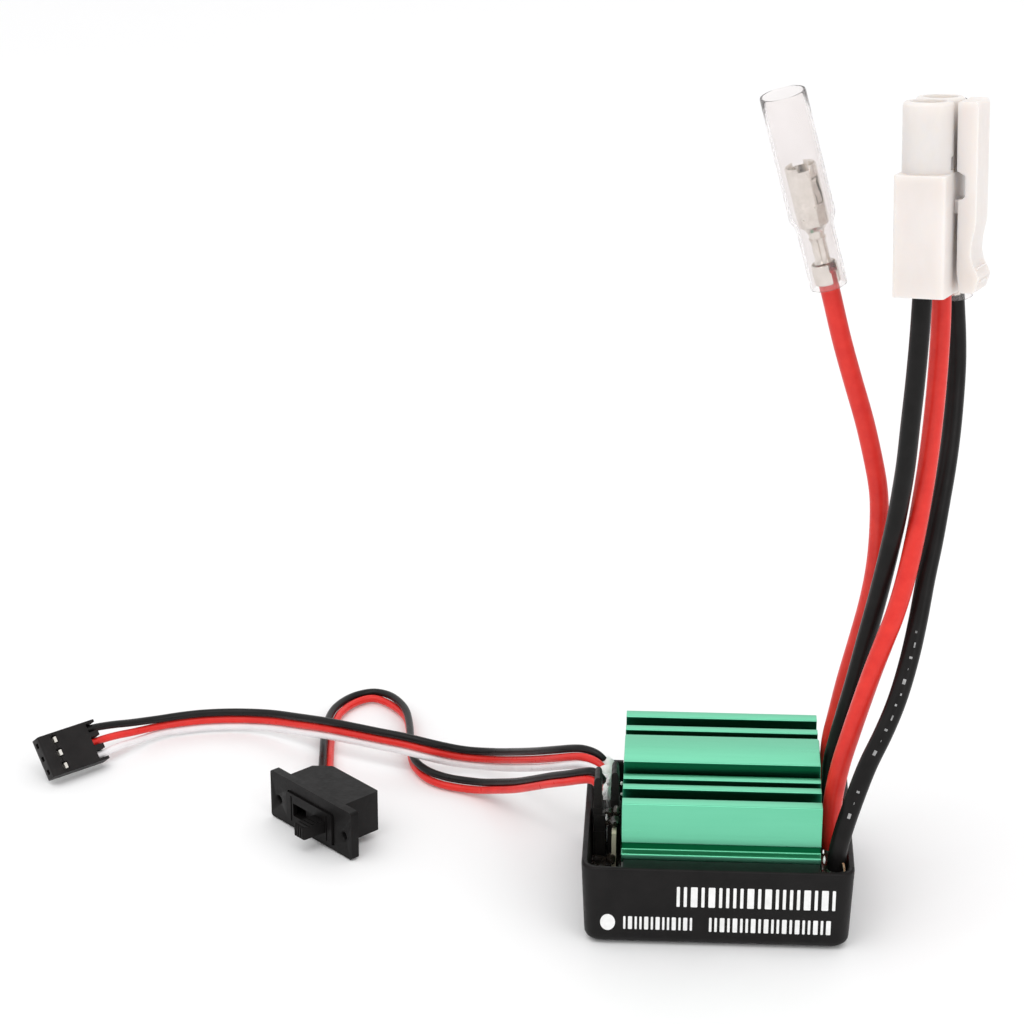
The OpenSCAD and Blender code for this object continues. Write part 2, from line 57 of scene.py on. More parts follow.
# ---- materials
class Look:
    """A Principled material with its own small node graph."""

    def __init__(self, name, **sockets):
        self.mat = bpy.data.materials.new(name)
        self.mat.use_nodes = True
        self.tree = self.mat.node_tree
        self.bsdf = next(n for n in self.tree.nodes if n.type == "BSDF_PRINCIPLED")
        self.coords = self.add("ShaderNodeTexCoord").outputs["Object"]
        self.normal = None
        for key, value in sockets.items():
            self.set(key.replace("_", " "), value)

    def add(self, kind, **props):
        node = self.tree.nodes.new(kind)
        for key, value in props.items():
            setattr(node, key, value)
        return node

    def join(self, a, b):
        self.tree.links.new(a, b)

    def set(self, socket, value):
        self.bsdf.inputs[socket].default_value = value

    def mapped(self, stretch):
        if stretch is None:
            return self.coords
        node = self.add("ShaderNodeMapping")
        node.inputs["Scale"].default_value = stretch
        self.join(self.coords, node.inputs["Vector"])
        return node.outputs["Vector"]

    def noise(self, scale, detail, stretch=None):
        node = self.add("ShaderNodeTexNoise")
        node.inputs["Scale"].default_value = scale
        node.inputs["Detail"].default_value = detail
        node.inputs["Roughness"].default_value = 0.55
        self.join(self.mapped(stretch), node.inputs["Vector"])
        return node.outputs["Fac"]

    def cells(self, scale):
        node = self.add("ShaderNodeTexVoronoi", feature="F1")
        node.inputs["Scale"].default_value = scale
        self.join(self.coords, node.inputs["Vector"])
        return node.outputs["Distance"]

    def waves(self, scale, direction, distort):
        node = self.add("ShaderNodeTexWave", wave_type="BANDS", bands_direction=direction)
        node.inputs["Scale"].default_value = scale
        node.inputs["Distortion"].default_value = distort
        self.join(self.coords, node.inputs["Vector"])
        return node.outputs["Fac"]

    def ramp(self, value, low, high, from_low=0.3, from_high=0.7):
        node = self.add("ShaderNodeMapRange")
        node.inputs["From Min"].default_value = from_low
        node.inputs["From Max"].default_value = from_high
        node.inputs["To Min"].default_value = low
        node.inputs["To Max"].default_value = high
        self.join(value, node.inputs["Value"])
        return node.outputs["Result"]

    def tint(self, value, a, b, from_low=0.3, from_high=0.7):
        node = self.add("ShaderNodeMix", data_type="RGBA")
        for i in node.inputs:
            if i.type == "RGBA" and i.name in ("A", "B"):
                i.default_value = (*(a if i.name == "A" else b), 1)
        self.join(self.ramp(value, 0, 1, from_low, from_high), node.inputs["Factor"])
        out = next(o for o in node.outputs if o.type == "RGBA")
        self.join(out, self.bsdf.inputs["Base Color"])
        return self

    def gloss(self, value, low, high):
        self.join(self.ramp(value, low, high), self.bsdf.inputs["Roughness"])
        return self

    def bump(self, value, depth_mm, strength=1.0):
        node = self.add("ShaderNodeBump")
        node.inputs["Distance"].default_value = depth_mm * MM
        node.inputs["Strength"].default_value = strength
        self.join(value, node.inputs["Height"])
        if self.normal is not None:
            self.join(self.normal, node.inputs["Normal"])
        self.normal = node.outputs["Normal"]
        self.join(self.normal, self.bsdf.inputs["Normal"])
        return self


def surface(name, cloud, colours, sheen, rough, bumps, **sockets):
    """Noise for the colour, noise for the gloss, then layers of bump, each with its depth in mm."""
    look = Look(name, **sockets)
    look.tint(look.noise(*cloud), *colours)
    look.gloss(look.noise(*sheen), *rough)
    for grain, *depth in bumps:
        look.bump(look.noise(*grain), *depth)
    return look.mat


def moulded(name, a, b, rough, grain=2600, depth=0.012, spec=0.45):
    """Moulded plastic: spark-eroded grain, faint flow marks."""
    return surface(name, (260, 3), (a, b), (900, 4), rough,
                   [((grain, 3), depth), ((160, 2), 0.02, 0.5)], Specular_IOR_Level=spec)


def jacket(name, a, b, rough, coat, spec):
    """Extruded wire jacket: faint creases and handling marks."""
    return surface(name, (420, 4), (a, b), (1500, 3), rough,
                   [((700, 3), 0.02, 0.6), ((5200, 2), 0.004, 0.5)],
                   Coat_Weight=coat, Coat_Roughness=0.25, Specular_IOR_Level=spec)


def metal(name, a, b, rough=(0.2, 0.38), grain=1800, depth=0.008, stretch=None):
    """Bare or plated metal: cloudy colour, fine brushed grain."""
    return surface(name, (700, 4, stretch), (a, b), (grain, 4, stretch), rough,
                   [((grain, 3, stretch), depth)], Metallic=1.0)


def paint(name, a, b):
    """Pad-printed ink."""
    return surface(name, (900, 5), (a, b), (1500, 3), (0.45, 0.6), [((3500, 3), 0.01)])


def anodised(name, low, high):
    """Dyed aluminium extrusion: die lines along X, faint cloudiness, small nicks."""
    look = Look(name, Metallic=1.0)
    look.tint(look.noise(90, 5, (0.25, 1, 1)), low, high)
    look.gloss(look.noise(2400, 3, (0.02, 1, 1)), 0.27, 0.38)
    look.bump(look.noise(3600, 2, (0.012, 1, 1)), 0.006, 0.8)
    look.bump(look.noise(130, 2, (0.5, 1, 1)), 0.05, 0.3)
    look.bump(look.ramp(look.cells(420), 0, 1, 0.0, 0.06), 0.02, 0.5)
    return look.mat


def solder_mask():
    """Green mask with the copper tracks standing up under it."""
    look = Look("solder_mask", Coat_Weight=0.5, Coat_Roughness=0.1)
    tracks = look.waves(420, "X", 6.0)
    look.tint(tracks, (0.01, 0.10, 0.035), (0.02, 0.17, 0.06), 0.45, 0.55)
    look.gloss(look.noise(700, 3), 0.25, 0.4)
    look.bump(look.ramp(tracks, 0, 1, 0.45, 0.55), 0.03)
    return look.mat


def laminate():
    """Cut edge of a circuit board: resin with glass layers."""
    look = Look("laminate_edge")
    look.tint(look.waves(3200, "X", 1.5), (0.48, 0.42, 0.30), (0.72, 0.67, 0.53))
    look.gloss(look.noise(900, 3), 0.5, 0.7)
    look.bump(look.noise(3000, 4), 0.03)
    return look.mat


def copper():
    """Bare stranded copper, partly tinned."""
    look = Look("bare_copper", Metallic=0.85)
    look.tint(look.noise(2500, 4), (0.72, 0.36, 0.18), (0.86, 0.72, 0.52))
    look.gloss(look.noise(1500, 3), 0.3, 0.5)
    look.bump(look.waves(3800, "Z", 1.0), 0.05)
    return look.mat


TUB = moulded("tub_plastic", (0.0055, 0.005, 0.005), (0.0095, 0.0085, 0.0085), (0.36, 0.5),
              spec=0.16)
TUB_MATTE = moulded("tub_matte", (0.015, 0.0135, 0.0135), (0.021, 0.019, 0.019), (0.75, 0.85),
                    spec=0.03)
SWITCH = moulded("switch_plastic", (0.0055, 0.005, 0.005), (0.010, 0.009, 0.009), (0.36, 0.5), 2100,
                 0.016, 0.12)
PLUG = moulded("plug_plastic", (0.007, 0.006, 0.006), (0.014, 0.012, 0.012), (0.34, 0.5), 1900,
               0.012, 0.2)
CAP = moulded("cap_plastic", (0.006, 0.006, 0.006), (0.016, 0.014, 0.013), (0.35, 0.6), 1500, 0.03,
              0.2)
CHIP = moulded("chip_plastic", (0.010, 0.010, 0.011), (0.018, 0.018, 0.02), (0.5, 0.65), 3800, 0.01)
PAD = moulded("pad_rubber", (0.30, 0.34, 0.38), (0.38, 0.42, 0.47), (0.7, 0.85), 1600, 0.02)
GREEN = anodised("anodised_green", (0.155, 0.575, 0.36), (0.185, 0.63, 0.41))
# a darker copy of the green: painted shade for the grooves, the middle rib's sides and the undercut
GREEN_PAINTED_SHADE = anodised("anodised_green_painted_shade", (0.008, 0.13, 0.065), (0.014, 0.17, 0.09))
# light passes into the natural nylon; the vinyl is clear, a little cloudy, with draw lines
NYLON = surface("nylon", (140, 4, (1, 1, 0.4)), ((0.72, 0.665, 0.635), (0.785, 0.735, 0.71)),
                (1100, 3), (0.34, 0.48), [((2800, 2), 0.006), ((120, 2), 0.05, 0.4)],
                Subsurface_Weight=0.7, Subsurface_Scale=0.0024, Subsurface_Radius=(1.0, 0.85, 0.7),
                Specular_IOR_Level=0.45)
VINYL = surface("clear_vinyl", (200, 3), ((0.94, 0.91, 0.905), (0.98, 0.955, 0.95)),
                (500, 3), (0.04, 0.14), [((900, 2, (1, 1, 0.1)), 0.02, 0.4), ((260, 2), 0.1, 0.3)],
                Transmission_Weight=0.93, IOR=1.2, Specular_IOR_Level=0.6)
SEALANT = surface("sealant", (500, 5), ((0.80, 0.79, 0.77), (0.92, 0.92, 0.91)), (800, 3),
                  (0.3, 0.5), [((1300, 4), 0.06)], Subsurface_Weight=0.4, Subsurface_Scale=0.0015,
                  Subsurface_Radius=(1.0, 0.95, 0.9))
RESIN = surface("resin", (600, 5), ((0.006, 0.005, 0.005), (0.03, 0.022, 0.016)),
                (500, 4), (0.14, 0.4), [((1100, 4), 0.09)], Coat_Weight=0.4, Coat_Roughness=0.12)
BOARD = solder_mask()
LAMINATE = laminate()
PRINT = paint("print_white", (0.80, 0.80, 0.79), (0.93, 0.93, 0.93))
PRINT_WORN = paint("print_worn", (0.12, 0.12, 0.12), (0.42, 0.42, 0.42))
COPPER = copper()
INK, SOOT = (0.006, 0.0055, 0.0055), (0.010, 0.009, 0.009)
LEAD_BLACK = jacket("lead_jacket_black", INK, SOOT, (0.3, 0.42), 0.03, 0.14)
LEAD_RED = jacket("lead_jacket_red", (0.66, 0.022, 0.016), (0.76, 0.036, 0.024), (0.32, 0.44), 0.05,
                  0.3)
WIRE_BLACK = jacket("wire_jacket_black", INK, SOOT, (0.26, 0.38), 0.05, 0.2)
WIRE_RED = jacket("wire_jacket_red", (0.68, 0.018, 0.014), (0.78, 0.03, 0.022), (0.26, 0.38), 0.1,
                  0.3)
WIRE_WHITE = jacket("wire_jacket_white", (0.80, 0.78, 0.79), (0.87, 0.85, 0.86), (0.26, 0.38), 0.2,
                    0.4)
TIN = metal("tin_plate", (0.74, 0.70, 0.64), (0.86, 0.83, 0.78), (0.16, 0.28), 900, 0.006)
GILT = metal("gilt", (0.78, 0.58, 0.24), (0.88, 0.70, 0.36))
SOLDER = metal("solder", (0.50, 0.48, 0.45), (0.68, 0.66, 0.63), (0.3, 0.5), 1500, 0.05)
CAN = metal("can_metal", (0.60, 0.60, 0.61), (0.72, 0.72, 0.73), (0.25, 0.4), 2200, 0.006,
            (1, 1, 0.05))


# ---- geometry
def smooth_path(points):
    """Points of one smooth curve through a route, ends kept where they are."""
    per_span, passes = 10, 6
    p = [Vector(q) for q in points]
    p = [2 * p[0] - p[1]] + p + [2 * p[-1] - p[-2]]
    out = []
    for i in range(1, len(p) - 2):
        a, b, c, d = p[i - 1], p[i], p[i + 1], p[i + 2]
        for k in range(per_span):
            t = k / per_span
            out.append(0.5 * ((2 * b) + (c - a) * t + (2 * a - 5 * b + 4 * c - d) * t * t
                              + (3 * b - a - 3 * c + d) * t ** 3))
    out.append(p[-2])
    for _ in range(passes):
        out = [out[0], out[1]] + [
            (out[i - 1] + 2 * out[i] + out[i + 1]) / 4 for i in range(2, len(out) - 2)
        ] + [out[-2], out[-1]]
    return out


def cord_curve(name, path, diameter, mat):
    """A round cord along a path in millimetres, as a curve in metres."""
    data = bpy.data.curves.new(name, "CURVE")
    data.dimensions = "3D"
    data.bevel_depth = diameter / 2 * MM
    data.bevel_resolution = 5
    data.use_fill_caps = True
    spline = data.splines.new("POLY")
    spline.points.add(len(path) - 1)
    for point, v in zip(spline.points, path):
        point.co = (v.x * MM, v.y * MM, v.z * MM, 1)
    spline.use_smooth = True
    data.materials.append(mat)
    obj = bpy.data.objects.new(name, data)
    scene.collection.objects.link(obj)
    return obj


def frames_along(path):
    """One tangent and normal per point, carried along without twisting."""
    last = Vector((0.0, -1.0, 0.1))
    out = []
    for i in range(len(path)):
        t = (path[min(i + 1, len(path) - 1)] - path[max(i - 1, 0)]).normalized()
        last = (last - last.dot(t) * t).normalized()
        out.append((t, last.copy()))
    return out


def quads_between(bm, a, b):
    """One face per side between two closed rows of vertices."""
    for i in range(len(a)):
        j = (i + 1) % len(a)
        bm.faces.new((a[i], a[j], b[j], b[i]))


def faces_from(rings):
    """Skins a list of equal rings of points into one closed solid."""
    bm = bmesh.new()
    rows = [[bm.verts.new(p) for p in ring] for ring in rings]
    for a, b in zip(rows, rows[1:]):
        quads_between(bm, a, b)
    bm.faces.new(list(reversed(rows[0])))
    bm.faces.new(rows[-1])
    bmesh.ops.recalc_face_normals(bm, faces=bm.faces)
    return bm


def block(low, high):
    """A box between two corners."""
    return prism(rect(low[0], high[0], low[1], high[1]), low[2], high[2])


def prism(outline, low, high, axis="Z"):
    """An outline in two axes, pushed along the third."""
    order = (0, 1, 2) if axis == "Z" else (0, 2, 1)
    return faces_from([[tuple((a, b, c)[k] for k in order) for a, b in outline]
                       for c in (low, high)])


def turned(profile, segments, wobble=lambda a, z: (1.0, 1.0)):
    """A closed profile of (radius, height) turned about Z; wobble scales X and Y."""
    bm = bmesh.new()
    rows = []
    for r, z in profile:
        row = []
        for a in circle(segments):
            sx, sy = wobble(a, z)
            row.append(bm.verts.new((r * sx * cos(a), r * sy * sin(a), z)))
        rows.append(row)
    for a, b in zip(rows, rows[1:] + rows[:1]):
        quads_between(bm, a, b)
    bmesh.ops.recalc_face_normals(bm, faces=bm.faces)
    return bm


def circle(count):
    """Angles spaced evenly round a circle."""
    return [2 * pi * k / count for k in range(count)]


def rod(radius, low, high, segments, top=None):
    """A round rod along Z; top is the radius of its upper end."""
    ends = ((radius, low), (radius if top is None else top, high))
    return faces_from([[(r * cos(a), r * sin(a), z) for a in circle(segments)]
                       for r, z in ends])


def moved(bm, matrix):
    """The same solid, moved in place."""
    bm.transform(matrix)
    return bm


def place(x, y, z):
    return Matrix.Translation((x, y, z))


def turn(degrees, axis):
    return Matrix.Rotation(radians(degrees), 4, axis)


def round_outline(points, radii, steps):
    """A polygon with each corner rounded by its own radius."""
    n = len(points)
    nearly_straight = radians(88)
    if not hasattr(radii, "__len__"):
        radii = [radii] * n
    out = []
    for i, r in enumerate(radii):
        p, a, b = Vector(points[i]), Vector(points[i - 1]), Vector(points[(i + 1) % n])
        u, v = (a - p).normalized(), (b - p).normalized()
        half = acos(max(-1, min(1, u.dot(v)))) / 2
        if r <= 0 or half > nearly_straight:
            out.append(tuple(p))
            continue
        cut = min(r / tan(half), 0.48 * (a - p).length, 0.48 * (b - p).length)
        r = cut * tan(half)
        centre = p + (u + v).normalized() * (r / sin(half))
        start, end = p + u * cut - centre, p + v * cut - centre
        sweep = atan2(start.x * end.y - start.y * end.x, start.dot(end))
        for k in range(steps + 1):
            t = sweep * k / steps
            c, s = cos(t), sin(t)
            out.append((centre.x + c * start.x - s * start.y, centre.y + s * start.x + c * start.y))
    return out


def rect(x0, x1, y0, y1):
    return [(x0, y0), (x1, y0), (x1, y1), (x0, y1)]


def rounded_rect(w, d, r, steps):
    return round_outline(rect(-w / 2, w / 2, -d / 2, d / 2), r, steps)


def mesh_of(bm, name="piece"):
    """Turns the working solid into a mesh and frees it."""
    mesh = bpy.data.meshes.new(name)
    bm.to_mesh(mesh)
    bm.free()
    return mesh


def shaped(base, adds=(), cuts=()):
    """One solid: base with solids joined to it and others cut out of it."""
    obj = bpy.data.objects.new("work", mesh_of(base))
    scene.collection.objects.link(obj)
    tools = []
    for kind, group in (("UNION", adds), ("DIFFERENCE", cuts)):
        for bm in group:
            tool = bpy.data.objects.new("tool", mesh_of(bm))
            scene.collection.objects.link(tool)
            mod = obj.modifiers.new("cut", "BOOLEAN")
            mod.operation = kind
            mod.object = tool
            mod.solver = "EXACT"
            tools.append(tool)
    bpy.context.view_layer.update()
    done = bpy.data.meshes.new_from_object(obj.evaluated_get(bpy.context.evaluated_depsgraph_get()))
    bm = bmesh.new()
    bm.from_mesh(done)
    for o in tools + [obj]:
        bpy.data.objects.remove(o)
    bmesh.ops.remove_doubles(bm, verts=bm.verts, dist=0.0005)
    bmesh.ops.dissolve_limit(bm, angle_limit=radians(0.6), verts=bm.verts, edges=bm.edges)
    return bm


def piece(name, bm, mat, body, replaces=(), bevel=0.0, steps=2, angle=38, frame_of=None):
    """Puts a solid made in millimetres into the scene, in metres, riding its body."""
    if frame_of is not None:
        bm.transform(frame_of)
    bm.transform(Matrix.Scale(MM, 4))
    mesh = mesh_of(bm, name)
    mesh.materials.append(mat)
    for p in mesh.polygons:
        p.use_smooth = True
    mesh.set_sharp_from_angle(angle=radians(angle))
    obj = bpy.data.objects.new(name, mesh)
    scene.collection.objects.link(obj)
    if bevel:
        mod = obj.modifiers.new("soft_edges", "BEVEL")
        mod.width = bevel * MM
        mod.segments = steps
        mod.limit_method = "ANGLE"
        mod.angle_limit = radians(angle)
        mod.harden_normals = True
    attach(obj, body)
    if replaces:
        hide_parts(*([replaces] if isinstance(replaces, str) else replaces))
    return obj


def dress(mat, *nodes):
    """Gives carried-over CAD nodes their material."""
    for n in nodes:
        mesh = NODES[n].data
        mesh.materials.clear()
        mesh.materials.append(mat)


def height_block(low, high, top, step, floor):
    """A block whose top follows a height function, with straight sides."""
    nx, ny = (int((high[k] - low[k]) / step) for k in (0, 1))
    bm = bmesh.new()
    grid = []
    for i in range(nx + 1):
        x = low[0] + (high[0] - low[0]) * i / nx
        row = []
        for j in range(ny + 1):
            y = low[1] + (high[1] - low[1]) * j / ny
            row.append(bm.verts.new((x, y, top(x, y))))
        grid.append(row)
    for i in range(nx):
        for j in range(ny):
            bm.faces.new((grid[i][j], grid[i + 1][j], grid[i + 1][j + 1], grid[i][j + 1]))
    edge = [grid[i][0] for i in range(nx + 1)] + [grid[nx][j] for j in range(1, ny + 1)]
    edge += [grid[i][ny] for i in range(nx - 1, -1, -1)] + [grid[0][j]
                                                            for j in range(ny - 1, 0, -1)]
    foot = [bm.verts.new((v.co.x, v.co.y, floor)) for v in edge]
    for i, v in enumerate(edge):
        j = (i + 1) % len(edge)
        bm.faces.new((v, foot[i], foot[j], edge[j]))
    bm.faces.new(list(reversed(foot)))
    bmesh.ops.recalc_face_normals(bm, faces=bm.faces)
    return bm


def lumps(x, y, z, size):
    return noise.noise(Vector((x, y, z)) / size)


# ---- the cords
MOTOR_RED = [(15.6, 8.5, 9.6), (15.5, 8.5, 13), (15.4, 8.5, 18.5), (16.2, 8.3, 23.5), (17.2, 8, 29),
             (18.5, 7.6, 35), (19.8, 7.2, 41.5), (20.5, 6.8, 47.5), (20.6, 6.3, 53.5),
             (20.3, 6, 58), (19.4, 6, 62.5), (18, 6, 68), (16.3, 6, 73.5), (14.6, 6, 79.2),
             (13.05, 6, 85.2), (12.1, 6, 88.75)]
BATTERY_BLACK = [(15.6, 3, 9.6), (15.5, 3, 13), (15.5, 3, 18.3), (16.1, 3, 22), (17.1, 2.8, 26.8),
                 (18.1, 2.5, 31.5), (19.3, 2, 37.8), (20.5, 1.5, 44), (21.5, 0.4, 50.3),
                 (22.35, -0.8, 56.5), (22.8, -1.7, 61), (23.15, -2.5, 65.4), (23.4, -3.3, 71.2),
                 (23.7, -3.75, 77), (23.95, -3.65, 83), (24.1, -2.99, 88.3), (24.34, -1.72, 95.49)]
BATTERY_RED = [
    (15.4, -5.5, 9.6), (15.3, -5.5, 12.8), (15.4, -5.3, 17.2), (16.2, -5, 22.3), (17.4, -4.5, 26.8),
    (18.8, -4, 31.7), (20.1, -3.5, 36), (21.5, -3, 40.2), (22.7, -2.3, 43.6), (23.9, -1.5, 48.3),
    (24.9, -0.6, 53.7), (25.65, 0.2, 59), (26.25, 0.9, 64.3), (26.65, 1.3, 69.7), (26.9, 1.5, 75.2),
    (27.05, 2, 81.5), (26.95, 2.81, 87.3), (26.28, 4.08, 94.5)]
MOTOR_BLACK = [
    (15.9, -11.4, 9.6), (16, -11.4, 12.5), (16.7, -11.2, 16), (17.9, -10.5, 20), (19.6, -9.2, 24.7),
    (21.5, -7.8, 28.6), (23.3, -5.8, 32.7), (24.8, -3.4, 37.5), (25.9, -1, 42.3), (26.8, 1.4, 47.2),
    (27.8, 3.6, 52), (28.6, 5.6, 56.8), (29.3, 7.6, 60.9), (29.85, 9.8, 65), (30.2, 11.8, 69.3),
    (30.35, 13.3, 73.6), (30.2, 14.1, 77.4), (29.85, 14.3, 81.2), (29.5, 14.3, 84.9)]
RIBBON = [(-15.4, 9.4, 12.3), (-16.1, 9.8, 13.4), (-17.2, 10.7, 14), (-18.7, 12, 13.9),
          (-20.2, 13.5, 13.2), (-22.3, 15.8, 11.8), (-24.6, 19, 9.9), (-27, 22.7, 7.8),
          (-29.3, 26.4, 5.8), (-31.7, 29.8, 4), (-34.1, 32.1, 2.9), (-36.65, 33.2, 2.5),
          (-39.35, 32.95, 3), (-42.55, 32.25, 4.1), (-46.25, 33.15, 4.55), (-50.25, 34.5, 4.6),
          (-54.3, 36.25, 4.5), (-58.5, 38.3, 4.2), (-62.6, 41.1, 3.3), (-66.9, 43.9, 2.4),
          (-71, 45.2, 1.9), (-74.8, 45.2, 1.8), (-78.3, 44.6, 1.8), (-81.4, 43.6, 1.8),
          (-84.2, 42.2, 1.9), (-86.3, 40.5, 2.1), (-88, 38.6, 2.5), (-89.6, 36.9, 2.9),
          (-91, 35.4, 3.15), (-92.4, 34, 3.24), (-93.87, 32.53, 3.27)]
SWITCH_PAIR = [(-15.6, 4.6, 12.4), (-16.3, 4.8, 13.8), (-17.4, 5.3, 14.5), (-18.9, 6.5, 13.8),
               (-21.1, 8.8, 12.2), (-23.6, 11.9, 10.2), (-26.3, 15.4, 7.8), (-28.9, 19.1, 5.4),
               (-31.6, 22.6, 3.4), (-34.1, 25.3, 1.9), (-36.6, 26.9, 1.25), (-39, 27.8, 1.13),
               (-41, 28.8, 1.13), (-42.7, 30.2, 1.17), (-44.2, 32.4, 1.2), (-45.2, 35.3, 1.2),
               (-45.8, 39.5, 1.2), (-46.3, 44.3, 1.2), (-47.2, 49.3, 1.2), (-48.7, 52.6, 1.16),
               (-50.8, 55.3, 1.06), (-53.1, 56.5, 0.95), (-55.4, 55.4, 0.9), (-57.2, 53, 0.87),
               (-58.3, 49.8, 0.87), (-58.6, 45.4, 0.87), (-58.5, 40.8, 0.87), (-58.1, 35.8, 0.87),
               (-57.7, 31, 0.95), (-57.2, 26.5, 1.5), (-57, 23, 2.8), (-56.9, 20.6, 3.5),
               (-56.8, 18.9, 3.7)]
STACK = [(0, 0), (1.5, 0.7), (12, 0.7), (14, 1), (18, 1), (21, 0.35), (27, 0.35), (30, 0), (99, 0)]
LEAD_D = 2.6
WIRE_D = 1.2      # wires lie this far apart
JACKET_D = 1.14   # and are drawn this thick
PITCH = 2.1
ACROSS = Vector((-0.435, 0.474, 0.766))


def tangent_at(route, i):
    return (Vector(route[min(i + 1, len(route) - 1)]) - Vector(route[max(i - 1, 0)])).normalized()


def ribbon_shift(i):
    """From the middle wire to the black one: across at the seal, up on the table,
    at the pitch in the plug."""
    end = len(RIBBON) - 1
    leave = max(0.0, 1 - i / 6)
    enter = max(0.0, min(1.0, 1.2 - (end - i) / 5))
    t = tangent_at(RIBBON, i)
    up = (Vector((0, 0, 1)) - t.z * t).normalized() * WIRE_D
    return leave * Vector((0, 2.6, 0)) + (1 - leave - enter) * up + enter * PITCH * ACROSS


def pair_shift(i):
    """Half the gap between the two switch wires, turned until the black one lies on top."""
    t = tangent_at(SWITCH_PAIR, i)
    side = Vector((t.y, -t.x, 0)).normalized()
    a, b = next((a, b) for a, b in zip(STACK, STACK[1:]) if a[0] <= i <= b[0])
    stack = a[1] + (b[1] - a[1]) * (i - a[0]) / (b[0] - a[0])
    half_gap = 0.8 if i == 0 else WIRE_D / 2
    return half_gap * ((1 - stack) * side + Vector((0, 0, stack))).normalized()


def beside(route, shift, sign):
    return [Vector(p) + sign * shift(i) for i, p in enumerate(route)]


ROUTES = {
    "motor_lead_red": MOTOR_RED,
    "battery_lead_black": BATTERY_BLACK,
    "battery_lead_red": BATTERY_RED,
    "motor_lead_black": MOTOR_BLACK,
    "receiver_wire_black": beside(RIBBON, ribbon_shift, 1),
    "receiver_wire_red": RIBBON,
    "receiver_wire_white": beside(RIBBON, ribbon_shift, -1),
    "switch_wire_black": beside(SWITCH_PAIR, pair_shift, 1),
    "switch_wire_red": beside(SWITCH_PAIR, pair_shift, -1),
}
PATHS = {name: smooth_path(route) for name, route in ROUTES.items()}
JACKETS = {"lead_red": LEAD_RED, "lead_black": LEAD_BLACK, "wire_red": WIRE_RED,
           "wire_black": WIRE_BLACK, "wire_white": WIRE_WHITE}


def thickness(name):
    return LEAD_D if "lead" in name else JACKET_D


cords = {}
for name, path in PATHS.items():
    slot = name.split("_", 1)[1]
    cords[name] = cord_curve(name + "_jacket", path, thickness(name), JACKETS[slot])
    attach(cords[name], "body")
    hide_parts(name)


# ---- tub
CASE_W, CASE_D = 36.5, 32.0
SINK_X = (-12.95, 13.75)
SINK_CY = 1.7


def case_solid(w, d, r, stations):
    """A rounded box, w by d, set in by a given amount at each height."""
    rings = []
    for z, inset in stations:
        outline = rounded_rect(w - 2 * inset, d - 2 * inset, max(0.4, r - inset * 0.5), 8)
        rings.append([(x, y, z) for x, y in outline])
    return faces_from(rings)


def front_y(z):
    """Y of the tub's front face, which leans out a little towards the rim."""
    lean, rim, span = 0.45, 11.4, 10.2
    return -(CASE_D / 2 - lean * max(0.0, rim - z) / span)


def make_case():
    """The tub, hollow down to its floor, with four bosses and a rebate for the extrusion."""
    outer = case_solid(CASE_W, CASE_D, 2.2, [
        (0.0, 1.75), (0.08, 1.4), (0.28, 1.02), (0.6, 0.7), (1.05, 0.5), (1.5, 0.44),
        (11.32, 0.005), (11.52, 0.05), (11.65, 0.16), (11.7, 0.3)])
    inner = case_solid(34.7, 30.2, 1.5, [
        (1.2, 0.75), (1.7, 0.44), (11.3, 0.02), (11.55, -0.04), (11.8, -0.22)])
    web = round_outline(rect(-12.7, 13.6, -20, -12), [0, 0, 0.5, 0.5], 4)
    cavity = shaped(inner, cuts=[prism(web, 0, 13)])
    rebate = block((SINK_X[0] - 0.35, SINK_CY - 14.95, 11.2), (SINK_X[1] + 0.35, 17, 13))
    bosses = [moved(rod(1.5, 1.1, 2.6, 24), place(x, y, 0)) for x in (-14, 10.5)
              for y in (-9.5, 12)]
    body = shaped(outer, cuts=[cavity, rebate])
    return shaped(body, adds=bosses)


case_obj = piece("tub", make_case(), TUB, "body", "case", bevel=0.12, steps=3,
                 angle=50)
# the ledge in front of the heatsink is dull
case_obj.data.materials.append(TUB_MATTE)
for p in case_obj.data.polygons:
    if p.normal.z > 0.7 and p.center.z / MM > 11.0 and p.center.y / MM < -12.5:
        p.material_index = 1


def plate_on_front(outline):
    """A thin printed shape on the front face; the outline is in X and Z."""
    lift, sunk = 0.03, 0.05
    bm = bmesh.new()
    back = [bm.verts.new((x, front_y(z) + sunk, z)) for x, z in outline]
    front = [bm.verts.new((x, front_y(z) - lift, z)) for x, z in outline]
    bm.faces.new(front)
    bm.faces.new(list(reversed(back)))
    quads_between(bm, front, back)
    bmesh.ops.recalc_face_normals(bm, faces=bm.faces)
    return bm


def merge(parts):
    """Several solids as one."""
    whole = bmesh.new()
    for bm in parts:
        mesh = mesh_of(bm)
        whole.from_mesh(mesh)
        bpy.data.meshes.remove(mesh)
    return whole


def make_marks():
    """Neutral marks: a row of thin upright bars above, a disc and two rows of small ones below."""
    parts = []

    def row(x, end, z0, z1, widths, gap):
        k = 0
        while x < end:
            w = widths[k % len(widths)]
            bar = rect(x, min(x + w, end + 0.2), z0, z1)
            parts.append(plate_on_front(round_outline(bar, 0.12, 4)))
            x += w + gap
            k += 1

    row(-5.4, 15.9, 6.1, 9.2, (0.42, 0.42, 0.9, 0.42, 0.9, 0.42, 0.42), 0.52)
    disc = [(-14.6 + 1.0 * cos(a), 3.4 + 1.25 * sin(a)) for a in circle(40)]
    parts.append(plate_on_front(disc))
    row(-12.5, -3.3, 2.4, 4.4, (0.3, 0.55, 0.3, 0.3, 0.55), 0.34)
    row(-1.0, 15.4, 2.3, 4.5, (0.34, 0.34, 0.62, 0.34, 0.62), 0.38)
    return merge(parts)


piece("face_marks", make_marks(), PRINT, "body")


